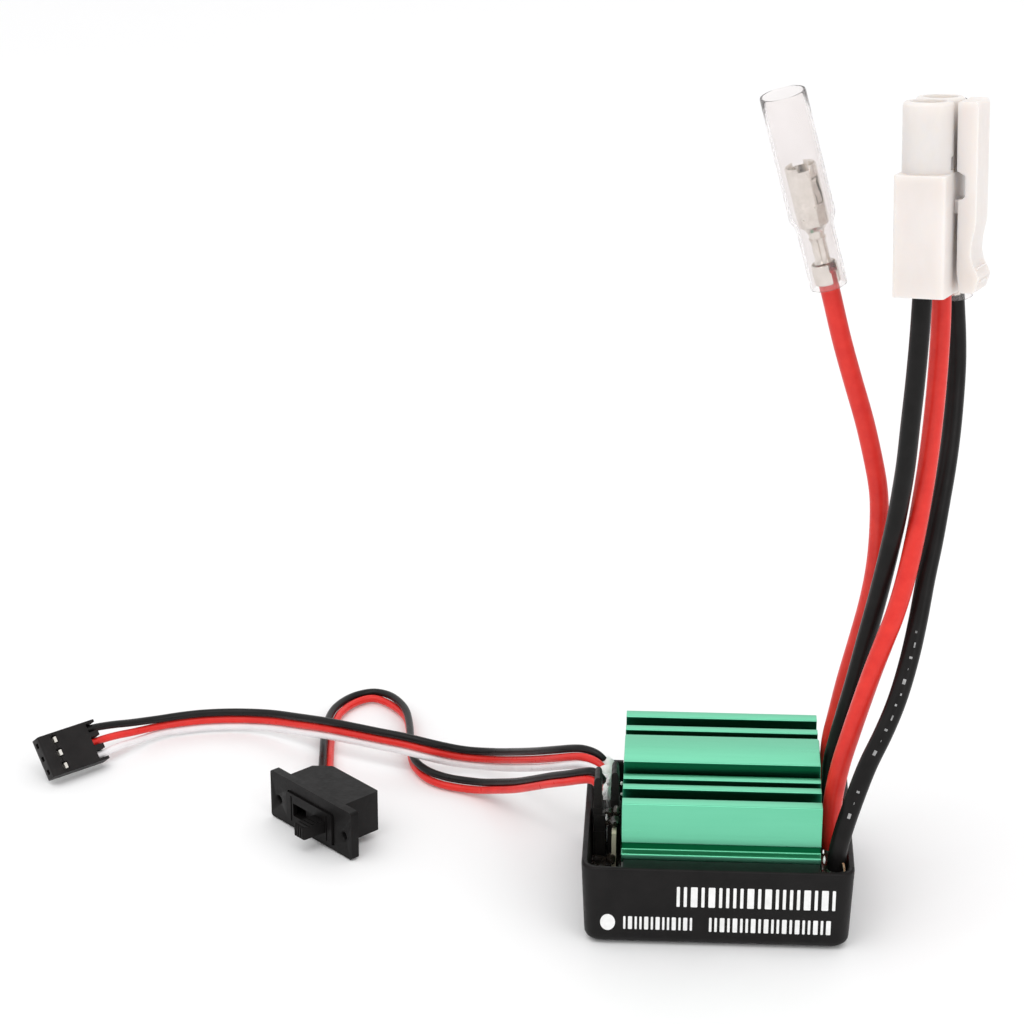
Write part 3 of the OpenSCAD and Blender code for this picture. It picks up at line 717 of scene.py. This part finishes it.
# ---- heatsink
def sink_outline():
    """Cross-section in Y and Z, anticlockwise from the front foot."""
    half, wall, fin, top, groove = 14.1, 1.95, 1.45, 19.6, 14.2
    rib, crown = 3.9, 20.8
    base, foot = 11.2, 12.45
    pts, rad = [], []

    def put(y, z, r=0.1):
        pts.append((y + SINK_CY, z))
        rad.append(r)

    def put_fin(at):
        for side, z, r in ((1, groove, 0.3), (1, top, 0.2), (-1, top, 0.2), (-1, groove, 0.3)):
            put(at + side * fin / 2, z, r)

    put(-half - 0.75, base)
    put(half + 0.15, base)
    put(half + 0.15, foot)
    put(half, foot + 0.01, 0)
    put(half, top, 0.22)
    put(half - wall, top, 0.22)
    put(half - wall, groove, 0.35)
    put_fin(8.8)
    put_fin(5.9)
    put(rib, groove, 0.3)
    put(rib, crown, 0.2)
    put(-rib, crown, 0.2)
    put(-rib, groove, 0.3)
    put_fin(-5.9)
    put_fin(-8.8)
    put(-half + wall, groove, 0.35)
    put(-half + wall, top, 0.22)
    put(-half, top, 0.22)
    # an undercut above the front foot
    put(-half, foot + 1.35, 0.5)
    put(-half + 0.45, foot + 0.14, 0.12)
    put(-half - 0.75, foot, 0.14)
    return round_outline(pts, rad, 4)


def make_sink():
    outline = sink_outline()
    spans, rim = 24, 0.09
    x0, x1 = SINK_X[0] + rim, SINK_X[1] - rim
    stations = [SINK_X[0]] + [x0 + (x1 - x0) * k / spans for k in range(spans + 1)] + [SINK_X[1]]
    return faces_from([[(x, y, z) for y, z in outline] for x in stations])


sink_obj = piece("finned_extrusion", make_sink(), GREEN, "body", "heatsink",
                 bevel=0.1, steps=2, angle=60)
# painted shade: the walls and floors of the grooves, the front and back of the middle rib and the
# underside of the undercut get a darker copy of the green
sink_obj.data.materials.append(GREEN_PAINTED_SHADE)
for p in sink_obj.data.polygons:
    y, z = p.center.y / MM - SINK_CY, p.center.z / MM
    end = abs(p.normal.x) >= 0.5
    groove = abs(y) < 12.3 and z < 19.45 and not (abs(p.normal.z) > 0.9 and z > 18)
    rib_side = abs(y) < 4.0 and z > 19.3 and abs(p.normal.y) > 0.9
    undercut = p.normal.z < -0.2 and 12 < z < 14 and y < -13
    if (not end and (groove or rib_side)) or undercut:
        p.material_index = 1


# ---- boards, chips, pads
dress(BOARD, "power_board", "control_board")
dress(CHIP, "mosfets", "microcontroller", "regulators", "jumper_base")
dress(PAD, "thermal_pad")
dress(CAN, "capacitors")
dress(GILT, "board_pins", "jumper_pins", "jumper_a_clip", "jumper_b_clip")
dress(LAMINATE, "daughter_board")
dress(SOLDER, "lead_solder")
dress(TIN, "switch_terminals", "receiver_contacts")


# ---- jumpers
def make_cap(x, lean, shift, top):
    """Shunt cap: a moulded block with a ledge, and a tall grip tab with a round top."""
    w, y0, y1 = 1.7, -2.6, 2.14
    lower = block((-w / 2, y0, 5.9), (w / 2, y1, 10.0))
    upper = block((-w / 2 + 0.07, y0 + 0.12, 9.9), (w / 2 - 0.05, y1 - 0.05, 12.45))
    knob = block((shift - 0.62, y0 + 0.4, 12.4), (shift + 0.66, y1 - 0.6, 13.5))
    tab = [(-0.54, 12.3), (0.54, 12.3), (0.56, top - 3), (0.5, top - 0.9), (0.4, top - 0.35),
           (0.18, top - 0.05), (-0.1, top), (-0.36, top - 0.2), (-0.5, top - 0.7), (-0.56, top - 3)]
    sheet = prism([(a + shift, b) for a, b in tab], y0 + 0.55, y1 - 0.75, "Y")
    for v in sheet.verts:
        t = (v.co.z - 12.3) / 6.5
        v.co.x += lean * t * t
    ribs = [block((shift - 0.56, y0 + 0.5, z), (shift + 0.2, y1 - 0.9, z + 0.22))
            for z in (14.6, 15.4, 16.2)]
    hollow = block((-0.5, y0 + 0.35, 5), (0.5, y1 - 0.35, 12.1))
    return moved(shaped(lower, adds=[upper, knob, sheet] + ribs, cuts=[hollow]), place(x, 0, 0))


for tail, shape in (("a", (-16.2, 0.05, -0.27, 18.0)), ("b", (-14.15, 0.0, 0.02, 18.9))):
    piece(f"jumper_{tail}_shunt", make_cap(*shape), CAP, "jumper_" + tail,
          f"jumper_{tail}_cap", bevel=0.09)


# ---- sealant and resin
def seal_top(x, y):
    """Height of the sealant: four humps where the wires come out."""
    z = 13.1 if y < 4.4 else 12.3
    for c, high in ((4.4, 13.2), (6.9, 13.8), (9.4, 14.05), (12.0, 14.0)):
        d2 = ((y - c) / 1.25) ** 2 + ((x + 15.7) / 1.5) ** 2
        z = max(z, 12.2 + (high - 12.2) * sqrt(max(0.0, 1 - d2 * 0.8)))
    z += 0.16 * lumps(x, y, 1, 0.9) + 0.07 * lumps(x, y, 5, 0.35)
    edge = min(x + 16.8, -14.3 - x, y - 2.9, 14.3 - y)
    return min(14.1, z) - 0.5 * exp(-edge / 0.16)


piece("white_sealant", height_block((-16.8, 2.9), (-14.3, 14.3), seal_top, 0.14, 3.6), SEALANT,
      "body", "signal_seal")


def pocket_top(x, y):
    return 6.5 + 0.3 * lumps(x, y, 2, 1.5) + 0.12 * lumps(x, y, 7, 0.5)


piece("pocket_resin", height_block((-17.2, -15.0), (-13.1, -2.95), pocket_top, 0.2, 4.0),
      RESIN, "body")


FEET = [route[0][:2] for route in (MOTOR_RED, BATTERY_BLACK, BATTERY_RED, MOTOR_BLACK)]


def resin_top(x, y):
    """Height of the resin, drawn up round each lead and along the walls."""
    z = 9.75
    for fx, fy in FEET:
        d = hypot(x - fx, y - fy) - LEAD_D / 2
        z += 0.55 * exp(-max(d, 0) / 0.45)
    wall = min(17.1 - x, x - 14.0, y + 14.7, 12.6 - y)
    z += 0.25 * exp(-max(wall, 0) / 0.25)
    return z + 0.2 * lumps(x, y, 3, 1.4) + 0.08 * lumps(x, y, 8, 0.5)


piece("black_resin", height_block((14.0, -14.7), (17.1, 12.6), resin_top, 0.16, 8.5), RESIN, "body",
      "lead_potting")


def blob(centre, size, seed, squash=(1, 1, 1)):
    """A rough lump."""
    bm = bmesh.new()
    bmesh.ops.create_icosphere(bm, subdivisions=3, radius=1.0)
    for v in bm.verts:
        k = 1 + 0.35 * noise.noise(v.co * 1.7 + Vector((seed, seed * 2, 0)))
        v.co = Vector(centre) + Vector((v.co.x * squash[0], v.co.y * squash[1],
                                        v.co.z * squash[2])) * size * k
    return bm


SMEARS = [
    ((14.15, -13.4, 12.5), 0.24, 1, (0.6, 1.5, 2.3)),
    ((14.0, -13.0, 13.5), 0.18, 2, (0.6, 1.3, 1.6)),
    ((14.4, -14.35, 10.7), 0.35, 3, (1.6, 0.5, 0.5)),
    ((16.6, -14.3, 10.7), 0.35, 4, (1.3, 0.5, 0.6)),
    ((-15.4, 4.0, 13.15), 0.75, 5, (0.8, 1.7, 1.25)),
    ((-15.2, 6.6, 13.3), 0.6, 18, (0.8, 1.3, 1.3)), ((-13.3, 4.2, 14.0), 0.25, 6, (0.8, 0.8, 1.1)),
    ((-13.25, 2.5, 13.2), 0.2, 7), ((-15.2, 2.8, 11.6), 0.62, 8, (0.75, 0.8, 3.3)),
    ((-15.14, 1.2, 12.2), 0.26, 9, (0.6, 0.9, 4.2)),
    ((-15.2, -2.7, 12.3), 0.2, 10, (0.7, 0.8, 3.4)),
    ((-15.1, 2.75, 14.9), 0.42, 11, (0.8, 0.7, 1.6))]
TORN = [
    ((-15.35, -2.85, 13.3), 0.36, 12, (1.1, 0.8, 1.0)),
    ((-15.15, -2.9, 11.6), 0.25, 13, (0.8, 0.7, 1.6)),
    ((-14.85, -3.3, 13.6), 0.42, 14, (1.1, 0.8, 1.3)),
    ((-14.1, -4.3, 12.6), 0.72, 15, (1.0, 1.3, 1.1)),
    ((-13.8, -3.3, 13.7), 0.6, 16, (0.9, 0.9, 1.2)),
    ((-14.5, -5.9, 7.6), 0.7, 17, (0.9, 1.0, 1.2))]
piece("sealant_smears", merge([blob(*row) for row in SMEARS]), SEALANT, "body")
piece("torn_resin", merge([blob(*row) for row in TORN]), RESIN, "body")


def strands(points, count, spread, radius):
    """A few bare copper strands that poke out of the resin."""
    parts = []
    for k, a in enumerate(circle(count)):
        path = [Vector(p) + Vector((cos(a + i), sin(a + i), 0.3 * sin(i + k))) * spread
                for i, p in enumerate(points)]
        rings = []
        for p, (t, n) in zip(path, frames_along(path)):
            b = t.cross(n)
            rings.append([tuple(p + radius * (cos(q) * n + sin(q) * b)) for q in circle(8)])
        parts.append(faces_from(rings))
    return merge(parts)


piece("copper_ends", strands([(16.9, -13.6, 9.9), (16.95, -13.4, 10.6), (16.85, -13.1, 11.3),
                              (16.7, -12.9, 11.8)], 5, 0.09, 0.07), COPPER, "body")


# ---- motor bullets, sleeves
# along each bullet: its base, then how far it leans
RED_AXIS = place(12.65, 6, 86.7) @ turn(-15, "Y")
BLACK_AXIS = place(29.7, 14.3, 82.8) @ turn(-5.5, "Y")


def spin(bm, degrees):
    return moved(bm, turn(degrees, "Z"))


def make_barrel():
    """Rolled sheet barrel: a seam, two sprung tongues in windows, a notched mouth."""
    tube = turned([(1.74, 8.9), (1.76, 16.6), (1.84, 16.8), (1.98, 16.8), (2.05, 16.65),
                   (2.05, 9.1), (1.96, 8.75), (1.8, 8.7)], 56)
    seam = spin(block((-0.1, -3, 8), (0.1, 0, 17)), 150)
    notches = [spin(block((-0.75, -3, 16.25), (0.75, 0, 17.2)), a) for a in (10, 190)]
    sides = (48, 228)
    windows = [spin(block((-0.62, -3, 11.6), (0.62, 0, 15.2)), a) for a in sides]
    barrel = shaped(tube, cuts=[seam] + notches + windows)
    bend = ((11.7, -1.9), (12.6, -1.86), (13.6, -1.62), (14.4, -1.55), (14.9, -1.8))
    tongues = [spin(faces_from([[(x, v, z) for x, v in rect(-0.42, 0.42, y - 0.07, y + 0.07)]
                                for z, y in bend]), a) for a in sides]
    return [barrel] + tongues


def oval(stations, notch=0.0):
    """An oval tube of (height, x radius, y radius); notch dents its front."""
    rings = []
    for z, rx, ry in stations:
        dips = [(a, 1 - notch * exp(-(((a - 1.5 * pi) / 0.35) ** 2))) for a in circle(28)]
        rings.append([(rx * cos(a) * dip, ry * sin(a) * dip, z) for a, dip in dips])
    return faces_from(rings)


def make_bullet():
    """Barrel, neck, the crimp on the strands and the open wings round the jacket."""
    neck = oval([(6.7, 1.05, 0.95), (7.3, 1.0, 0.8), (8.1, 1.35, 1.2), (8.75, 1.85, 1.8),
                 (9.15, 1.7, 1.7)])
    crimp = oval([(3.3, 1.2, 1.1), (3.6, 1.02, 0.92), (4.2, 0.98, 0.88), (5.0, 1.02, 0.9),
                  (6.0, 0.98, 0.88), (6.5, 1.1, 1.0), (6.8, 1.2, 1.1)], notch=0.34)
    ring = turned([(1.43, 0.7), (1.43, 3.0), (1.5, 3.2), (1.66, 3.2), (1.72, 3.0), (1.72, 0.8),
                   (1.64, 0.55), (1.5, 0.55)], 44)
    wings = shaped(ring, cuts=[spin(block((-0.5, -3, 0), (0.22, 0, 4)), 40),
                               spin(block((-0.3, -3, 2.1), (0.9, 0, 4)), 28)])
    return merge(make_barrel() + [neck, crimp, wings])


def make_strands():
    """Six bare strands round a seventh."""
    rods = []
    for k in range(7):
        a = 2 * pi * k / 6
        r = 0.0 if k == 6 else 0.42
        rods.append(moved(rod(0.2, 2.0, 7.2 - 0.12 * (k % 3), 10),
                          place(r * cos(a), r * sin(a), 0)))
    return merge(rods)


def out_of_round(a, z):
    k = 0.012 * cos(2 * a + z * 0.1)
    return 1 + k, 1 - k


def make_sleeve():
    """Clear sleeve, wide over the barrel and narrow over the lead."""
    outer = [(2.40, 0.0), (2.45, 0.25), (2.45, 2), (2.43, 4), (2.44, 6), (2.45, 7.9), (2.53, 8.5),
             (2.78, 9.1), (2.97, 9.55), (3.04, 10.0), (3.05, 12), (3.04, 16), (3.05, 20),
             (3.04, 24), (3.05, 26.25), (2.98, 26.48)]
    inner = [(2.74, 26.48), (2.66, 26.25), (2.65, 22), (2.66, 18), (2.65, 12), (2.63, 10.1),
             (2.5, 9.6), (2.3, 9.1), (2.12, 8.6), (2.06, 8.0), (2.05, 5), (2.06, 2), (2.07, 0.25),
             (2.14, 0.0)]
    return turned(outer + inner, 64, out_of_round)


for tail, axis, body in (("red", RED_AXIS, "sleeve_red"), ("black", BLACK_AXIS, "sleeve_black")):
    piece("bullet_" + tail, make_bullet(), TIN, "body",
                                     "motor_bullet_" + tail, angle=42, frame_of=axis)
    piece("strands_" + tail, make_strands(), COPPER, "body",
                                      frame_of=axis)
    piece("sleeve_" + tail, make_sleeve(), VINYL, body,
                                     "motor_sleeve_" + tail, angle=60, frame_of=axis)


# ---- battery plug
PLUG_FRAME = place(25.45, 0, 88.3) @ turn(-1.2, "Y") @ turn(-10, "X") @ turn(-18, "Z")
PLUG_T, PLUG_W, TUBE_AT, TUBE_R = 6.7, 14.4, 3.1, 3.25


def make_plug():
    """Housing with two open tubes, a stop for the latch, and the terminals' windows."""
    body = prism(rounded_rect(PLUG_T, PLUG_W, 0.45, 4), 0, 15.5)
    wall = [(0.5, 14.5), (TUBE_R, 14.5), (TUBE_R, 23.9), (TUBE_R - 0.12, 24.25),
            (TUBE_R - 0.42, 24.48), (0.5, 24.5)]
    tubes, cuts = [], []
    for y in (-TUBE_AT, TUBE_AT):
        tubes.append(moved(turned(wall, 56), place(0, y, 0)))
        cuts.append(moved(rod(1.95, -1, 15.5, 40), place(0, y, 0)))
        cuts.append(moved(rod(2.3, 15.0, 25.5, 40), place(0, y, 0)))
        cuts.append(block((-4, y - 0.7, 11.2), (-2.6, y + 0.7, 13.4)))
        cuts.append(block((1.2, y - 0.55, 15.9), (4, y + 0.55, 17.6)))
    stop = block((PLUG_T / 2 - 0.2, -2.2, 10.3), (PLUG_T / 2 + 0.53, 2.2, 12.0))
    return shaped(body, adds=tubes + [stop], cuts=cuts)


def make_latch():
    """Side latch with a finger grip at its foot."""
    x = PLUG_T / 2 + 0.65
    outline = round_outline([(x, 12.2), (x, 3), (x + 0.4, 0.3), (x + 2.3, 0.3), (x + 2.9, 2.2),
                             (x + 2, 4), (x + 1.75, 5.2), (x + 1.85, 6.8), (x + 2.35, 9.3),
                             (x + 2.4, 24.1), (x + 2.1, 24.5), (x - 0.2, 24.5), (x - 0.2, 15.8),
                             (x + 0.9, 15.2), (x + 0.9, 12.6), (x + 0.5, 12.2)],
                            [0.2, 1.5, 0.4, 0.4, 0.6, 1.0, 1.2, 1.6, 1.6, 0.3, 0.3, 0.3, 0.3, 0.3,
                             0.2, 0.15], 5)
    latch = prism(outline, -3.2, 3.2, "Y")
    ridges = [block((x + 2.0, -2.4, z), (x + 2.92 - 0.22 * i, 2.4, z + 0.28))
              for i, z in enumerate((1.6, 2.4, 3.2))]
    return shaped(latch, adds=ridges)


piece("battery_plug_shell", make_plug(), NYLON, "body", "battery_plug",
                       bevel=0.18, steps=3, angle=50, frame_of=PLUG_FRAME)
piece("battery_plug_latch", make_latch(), NYLON, "latch",
                        "battery_latch", bevel=0.2, steps=3, angle=50, frame_of=PLUG_FRAME)
dress(TIN, "battery_terminals")


# ---- receiver plug
RX_FRAME = place(-95.69, 30.82, 3.3) @ turn(43.4, "Z") @ turn(0.7, "Y") @ turn(-40, "X")
ROWS = (-PITCH, 0.0, PITCH)


def make_rx():
    """Flat three-way shell: pin holes, windows for the contacts, slanted corners at the wires."""
    body = prism(round_outline(rect(-4.9, 4.9, -1.15, 1.15), [0.35, 0.12, 0.12, 0.3], 3), -3.2, 3.2)
    cuts = [block((-3.15, -2, -2.95), (-2.45, -1.0, 2.95))]
    for z in ROWS:
        cuts.append(block((-8, -0.36, z - 0.36), (8, 0.36, z + 0.36)))
        cuts.append(block((-2.8, -2, z - 0.6), (-1.95, 0.2, z + 0.6)))
        cuts.append(block((3.3, -2, z - 0.66), (8, 0.66, z + 0.66)))
        cuts.append(block((0.2, -0.78, z - 0.78), (3.6, 0.78, z + 0.78)))
    for z in (-3.2, 3.2):
        cuts.append(moved(block((-1, -2, -1), (1, 2, 1)),
                          place(5.9, 0, z * 1.36) @ turn(25 if z < 0 else -25, "Y")))
    return shaped(body, cuts=cuts)


piece("receiver_plug_shell", make_rx(), PLUG, "body", "receiver_plug",
                     bevel=0.14, steps=3, angle=50, frame_of=RX_FRAME)


def make_rx_tongues():
    """The contacts' barbs, seen in the windows."""
    bend = ((-2.55, -0.5), (-2.35, -0.7), (-2.2, -0.86), (-2.02, -0.95))
    return merge([faces_from([[(x, y - 0.07, z - 0.42), (x, y - 0.07, z + 0.42),
                               (x, y + 0.07, z + 0.42), (x, y + 0.07, z - 0.42)] for x, y in bend])
                  for z in ROWS])


piece("receiver_plug_tongues", make_rx_tongues(), TIN, "body",
                             frame_of=RX_FRAME)


# ---- switch
SWITCH_FRAME = place(-57.75, 11.9, 0) @ turn(-45, "Z")
MID = 3.2


def rect_at(w, h, r, up=MID):
    return [(a, b + up) for a, b in rounded_rect(w, h, r, 4)]


def make_switch():
    """Housing behind a flange with two countersunk screw holes, open where the wires leave."""
    flange = prism(rect_at(18.4, 7.4, 0.45, up=3.7), 0, 1.3, "Y")
    box = prism(round_outline([(-6.2, 0.6), (6.2, 0.6), (6.2, 7.5), (-4.1, 7.5), (-6.2, 5.4)],
                              [0, 0, 0.3, 0.3, 0.3], 3), 1.1, 7.3)
    cuts = [prism(rect_at(10.5, 5.0, 0.25), -1, 1.35, "Y"),
            block((-5.1, 1.2, MID - 1.6), (5.1, 6.2, MID + 2.5))]
    for s in (-1, 1):
        hole = moved(rod(0.55, -3, 3, 24), place(s * 7.4, 0, MID) @ turn(90, "X"))
        sink = moved(rod(0.85, 0.0, 0.3, 24, 0.55), place(s * 7.4, -0.02, MID) @ turn(-90, "X"))
        cuts += [hole, sink]
    exit_way = moved(block((-1.3, -1.5, -0.75), (1.3, 1.5, 0.75)),
                     place(-5.15, 6.45, 3.7) @ turn(45, "Z"))
    return shaped(flange, adds=[box], cuts=cuts + [exit_way])


def make_insert():
    """Inner frame with a slot in its face and room behind it for the sliding plate."""
    face = prism(rect_at(10.2, 4.8, 0.4), -0.35, 1.3, "Y")
    back = block((-5, 1.2, MID - 1.5), (5, 4.6, MID + 2.4))
    cuts = [prism(rect_at(7.2, 2.0, 0.15), -1, 0.5, "Y"),
            block((-4.75, 0.4, MID - 1), (4.75, 2.6, MID + 1))]
    for s in (-1, 1):
        cuts.append(block((s * 4.0 - 0.15, -0.5, MID - 2.0), (s * 4.0 + 0.15, -0.22, MID + 2.0)))
    return shaped(face, adds=[back], cuts=cuts)


def make_lever():
    """Sliding plate inside the frame, with a ribbed grip outside."""
    foot = block((-4.1, 0.6, MID - 0.9), (1.15, 2.3, MID + 0.9))
    grip = prism(round_outline([(-1.15, -3.9), (1.1, -3.9), (1.25, 0.7), (-1.3, 0.7)],
                               [0.2, 0.2, 0, 0], 3), MID - 0.92, MID + 0.92)
    ribs = [block((x - 0.13, -4.02, MID - 0.84), (x + 0.13, -3.5, MID + 0.84))
            for x in (-0.8, -0.28, 0.24, 0.76)]
    top = [block((-1.1, -3.7 + 0.7 * i, MID + 0.8), (1.05, -3.42 + 0.7 * i, MID + 1.05))
           for i in range(4)]
    return moved(shaped(foot, adds=[grip] + ribs + top), place(2.26, 0, 0))


for key, name, make, body, node, bevel, steps in (
        ("switch", "switch_shell", make_switch, "body", "switch_housing", 0.16, 3),
        ("insert", "switch_frame", make_insert, "body", "switch_insert", 0.1, 2),
        ("lever", "switch_slider", make_lever, "lever", "switch_lever", 0.1, 2)):
    piece(name, make(), SWITCH, body, node, bevel=bevel,
                        steps=steps, angle=50, frame_of=SWITCH_FRAME)


# ---- marks on the black lead
def lead_marks(path, radius, start, count, gap):
    """Short neutral ticks printed along one side of a lead."""
    sunk = raised = 0.02
    frames = frames_along(path)
    dist = [0.0]
    for a, b in zip(path, path[1:]):
        dist.append(dist[-1] + (b - a).length)
    parts = []
    lo = start
    for k in range(count):
        hi = lo + (0.7 if k % 3 == 0 else 0.3)
        a0, a1 = -14 + 9 * (k % 2), 4 - 6 * (k % 3 == 1)
        angles = [radians(a0 + (a1 - a0) * q / 4) for q in range(5)]
        rings = []
        for s in (lo, (lo + hi) / 2, hi):
            i = min(range(len(dist)), key=lambda q: abs(dist[q] - s))
            t, n = frames[i]
            p = path[i] + t * (s - dist[i])
            b = t.cross(n)
            low, high = ([tuple(p + r * (cos(a) * n + sin(a) * b)) for a in angles]
                         for r in (radius - sunk, radius + raised))
            rings.append(high + list(reversed(low)))
        parts.append(faces_from(rings))
        lo = hi + gap
    return merge(parts)


piece("lead_ticks", merge([lead_marks(PATHS["motor_lead_black"], LEAD_D / 2, *row)
                           for row in ((8.5, 3, 1.3), (17.5, 11, 1.25))]),
      PRINT_WORN, "body")


# ---- what each cord is
EXITS = {
    "motor_lead_red": ("connector", "stiff", ["bullet_red", "strands_red", "sleeve_red"]),
    "motor_lead_black": ("connector", "stiff", ["bullet_black", "strands_black", "sleeve_black"]),
    "battery_lead_black": ("plug", "stiff", ["plug", "latch"]),
    "battery_lead_red": ("plug", "stiff", ["plug"]),
    "receiver_wire_black": ("plug", "limp", ["rx"]),
    "receiver_wire_red": ("plug", "limp", ["rx", "rx_tongues"]),
    "receiver_wire_white": ("plug", "limp", ["rx"]),
    "switch_wire_black": ("connector", "limp", ["switch"]),
    "switch_wire_red": ("connector", "limp", ["switch", "insert", "lever"]),
}
for name, (end, stiff, on_it) in EXITS.items():
    path = PATHS[name]


# ---- floor and light
bm = bmesh.new()
bmesh.ops.create_grid(bm, x_segments=40, y_segments=40, size=4)
floor_mesh = mesh_of(bm, "floor")
floor_mesh.materials.append(surface(
    "floor", (3, 3), ((0.90, 0.90, 0.905), (0.93, 0.93, 0.93)), (60, 3), (0.55, 0.7),
    [((900, 3), 0.01, 0.3)]))
floor = bpy.data.objects.new("floor", floor_mesh)
floor.location.z = -0.0002
scene.collection.objects.link(floor)

world = bpy.data.worlds.new("studio")
scene.world = world
world.use_nodes = True
sky = next(n for n in world.node_tree.nodes if n.type == "BACKGROUND")
sky.inputs["Color"].default_value = (1.0, 1.0, 1.0, 1)
sky.inputs["Strength"].default_value = 0.93


def softbox(name, at, aim, size, watts, tint=(1, 1, 1)):
    data = bpy.data.lights.new(name, "AREA")
    data.shape = "RECTANGLE"
    data.size, data.size_y = size
    data.energy = watts
    data.color = tint
    lamp = bpy.data.objects.new(name, data)
    lamp.location = at
    lamp.rotation_euler = (Vector(aim) - Vector(at)).to_track_quat("-Z", "Y").to_euler()
    scene.collection.objects.link(lamp)


softbox("key", (-0.45, -0.35, 0.85), (0, 0, 0.02), (0.7, 0.7), 1.4)
softbox("strip", (0.0, -0.36, 0.85), (0, 0, 0.02), (0.7, 0.1), 1.0)
softbox("fill", (0.6, -0.6, 0.45), (0, 0, 0.03), (0.5, 0.4), 1.0)
softbox("rim", (0.2, 0.7, 0.6), (0, 0, 0.03), (0.9, 0.3), 0.45)
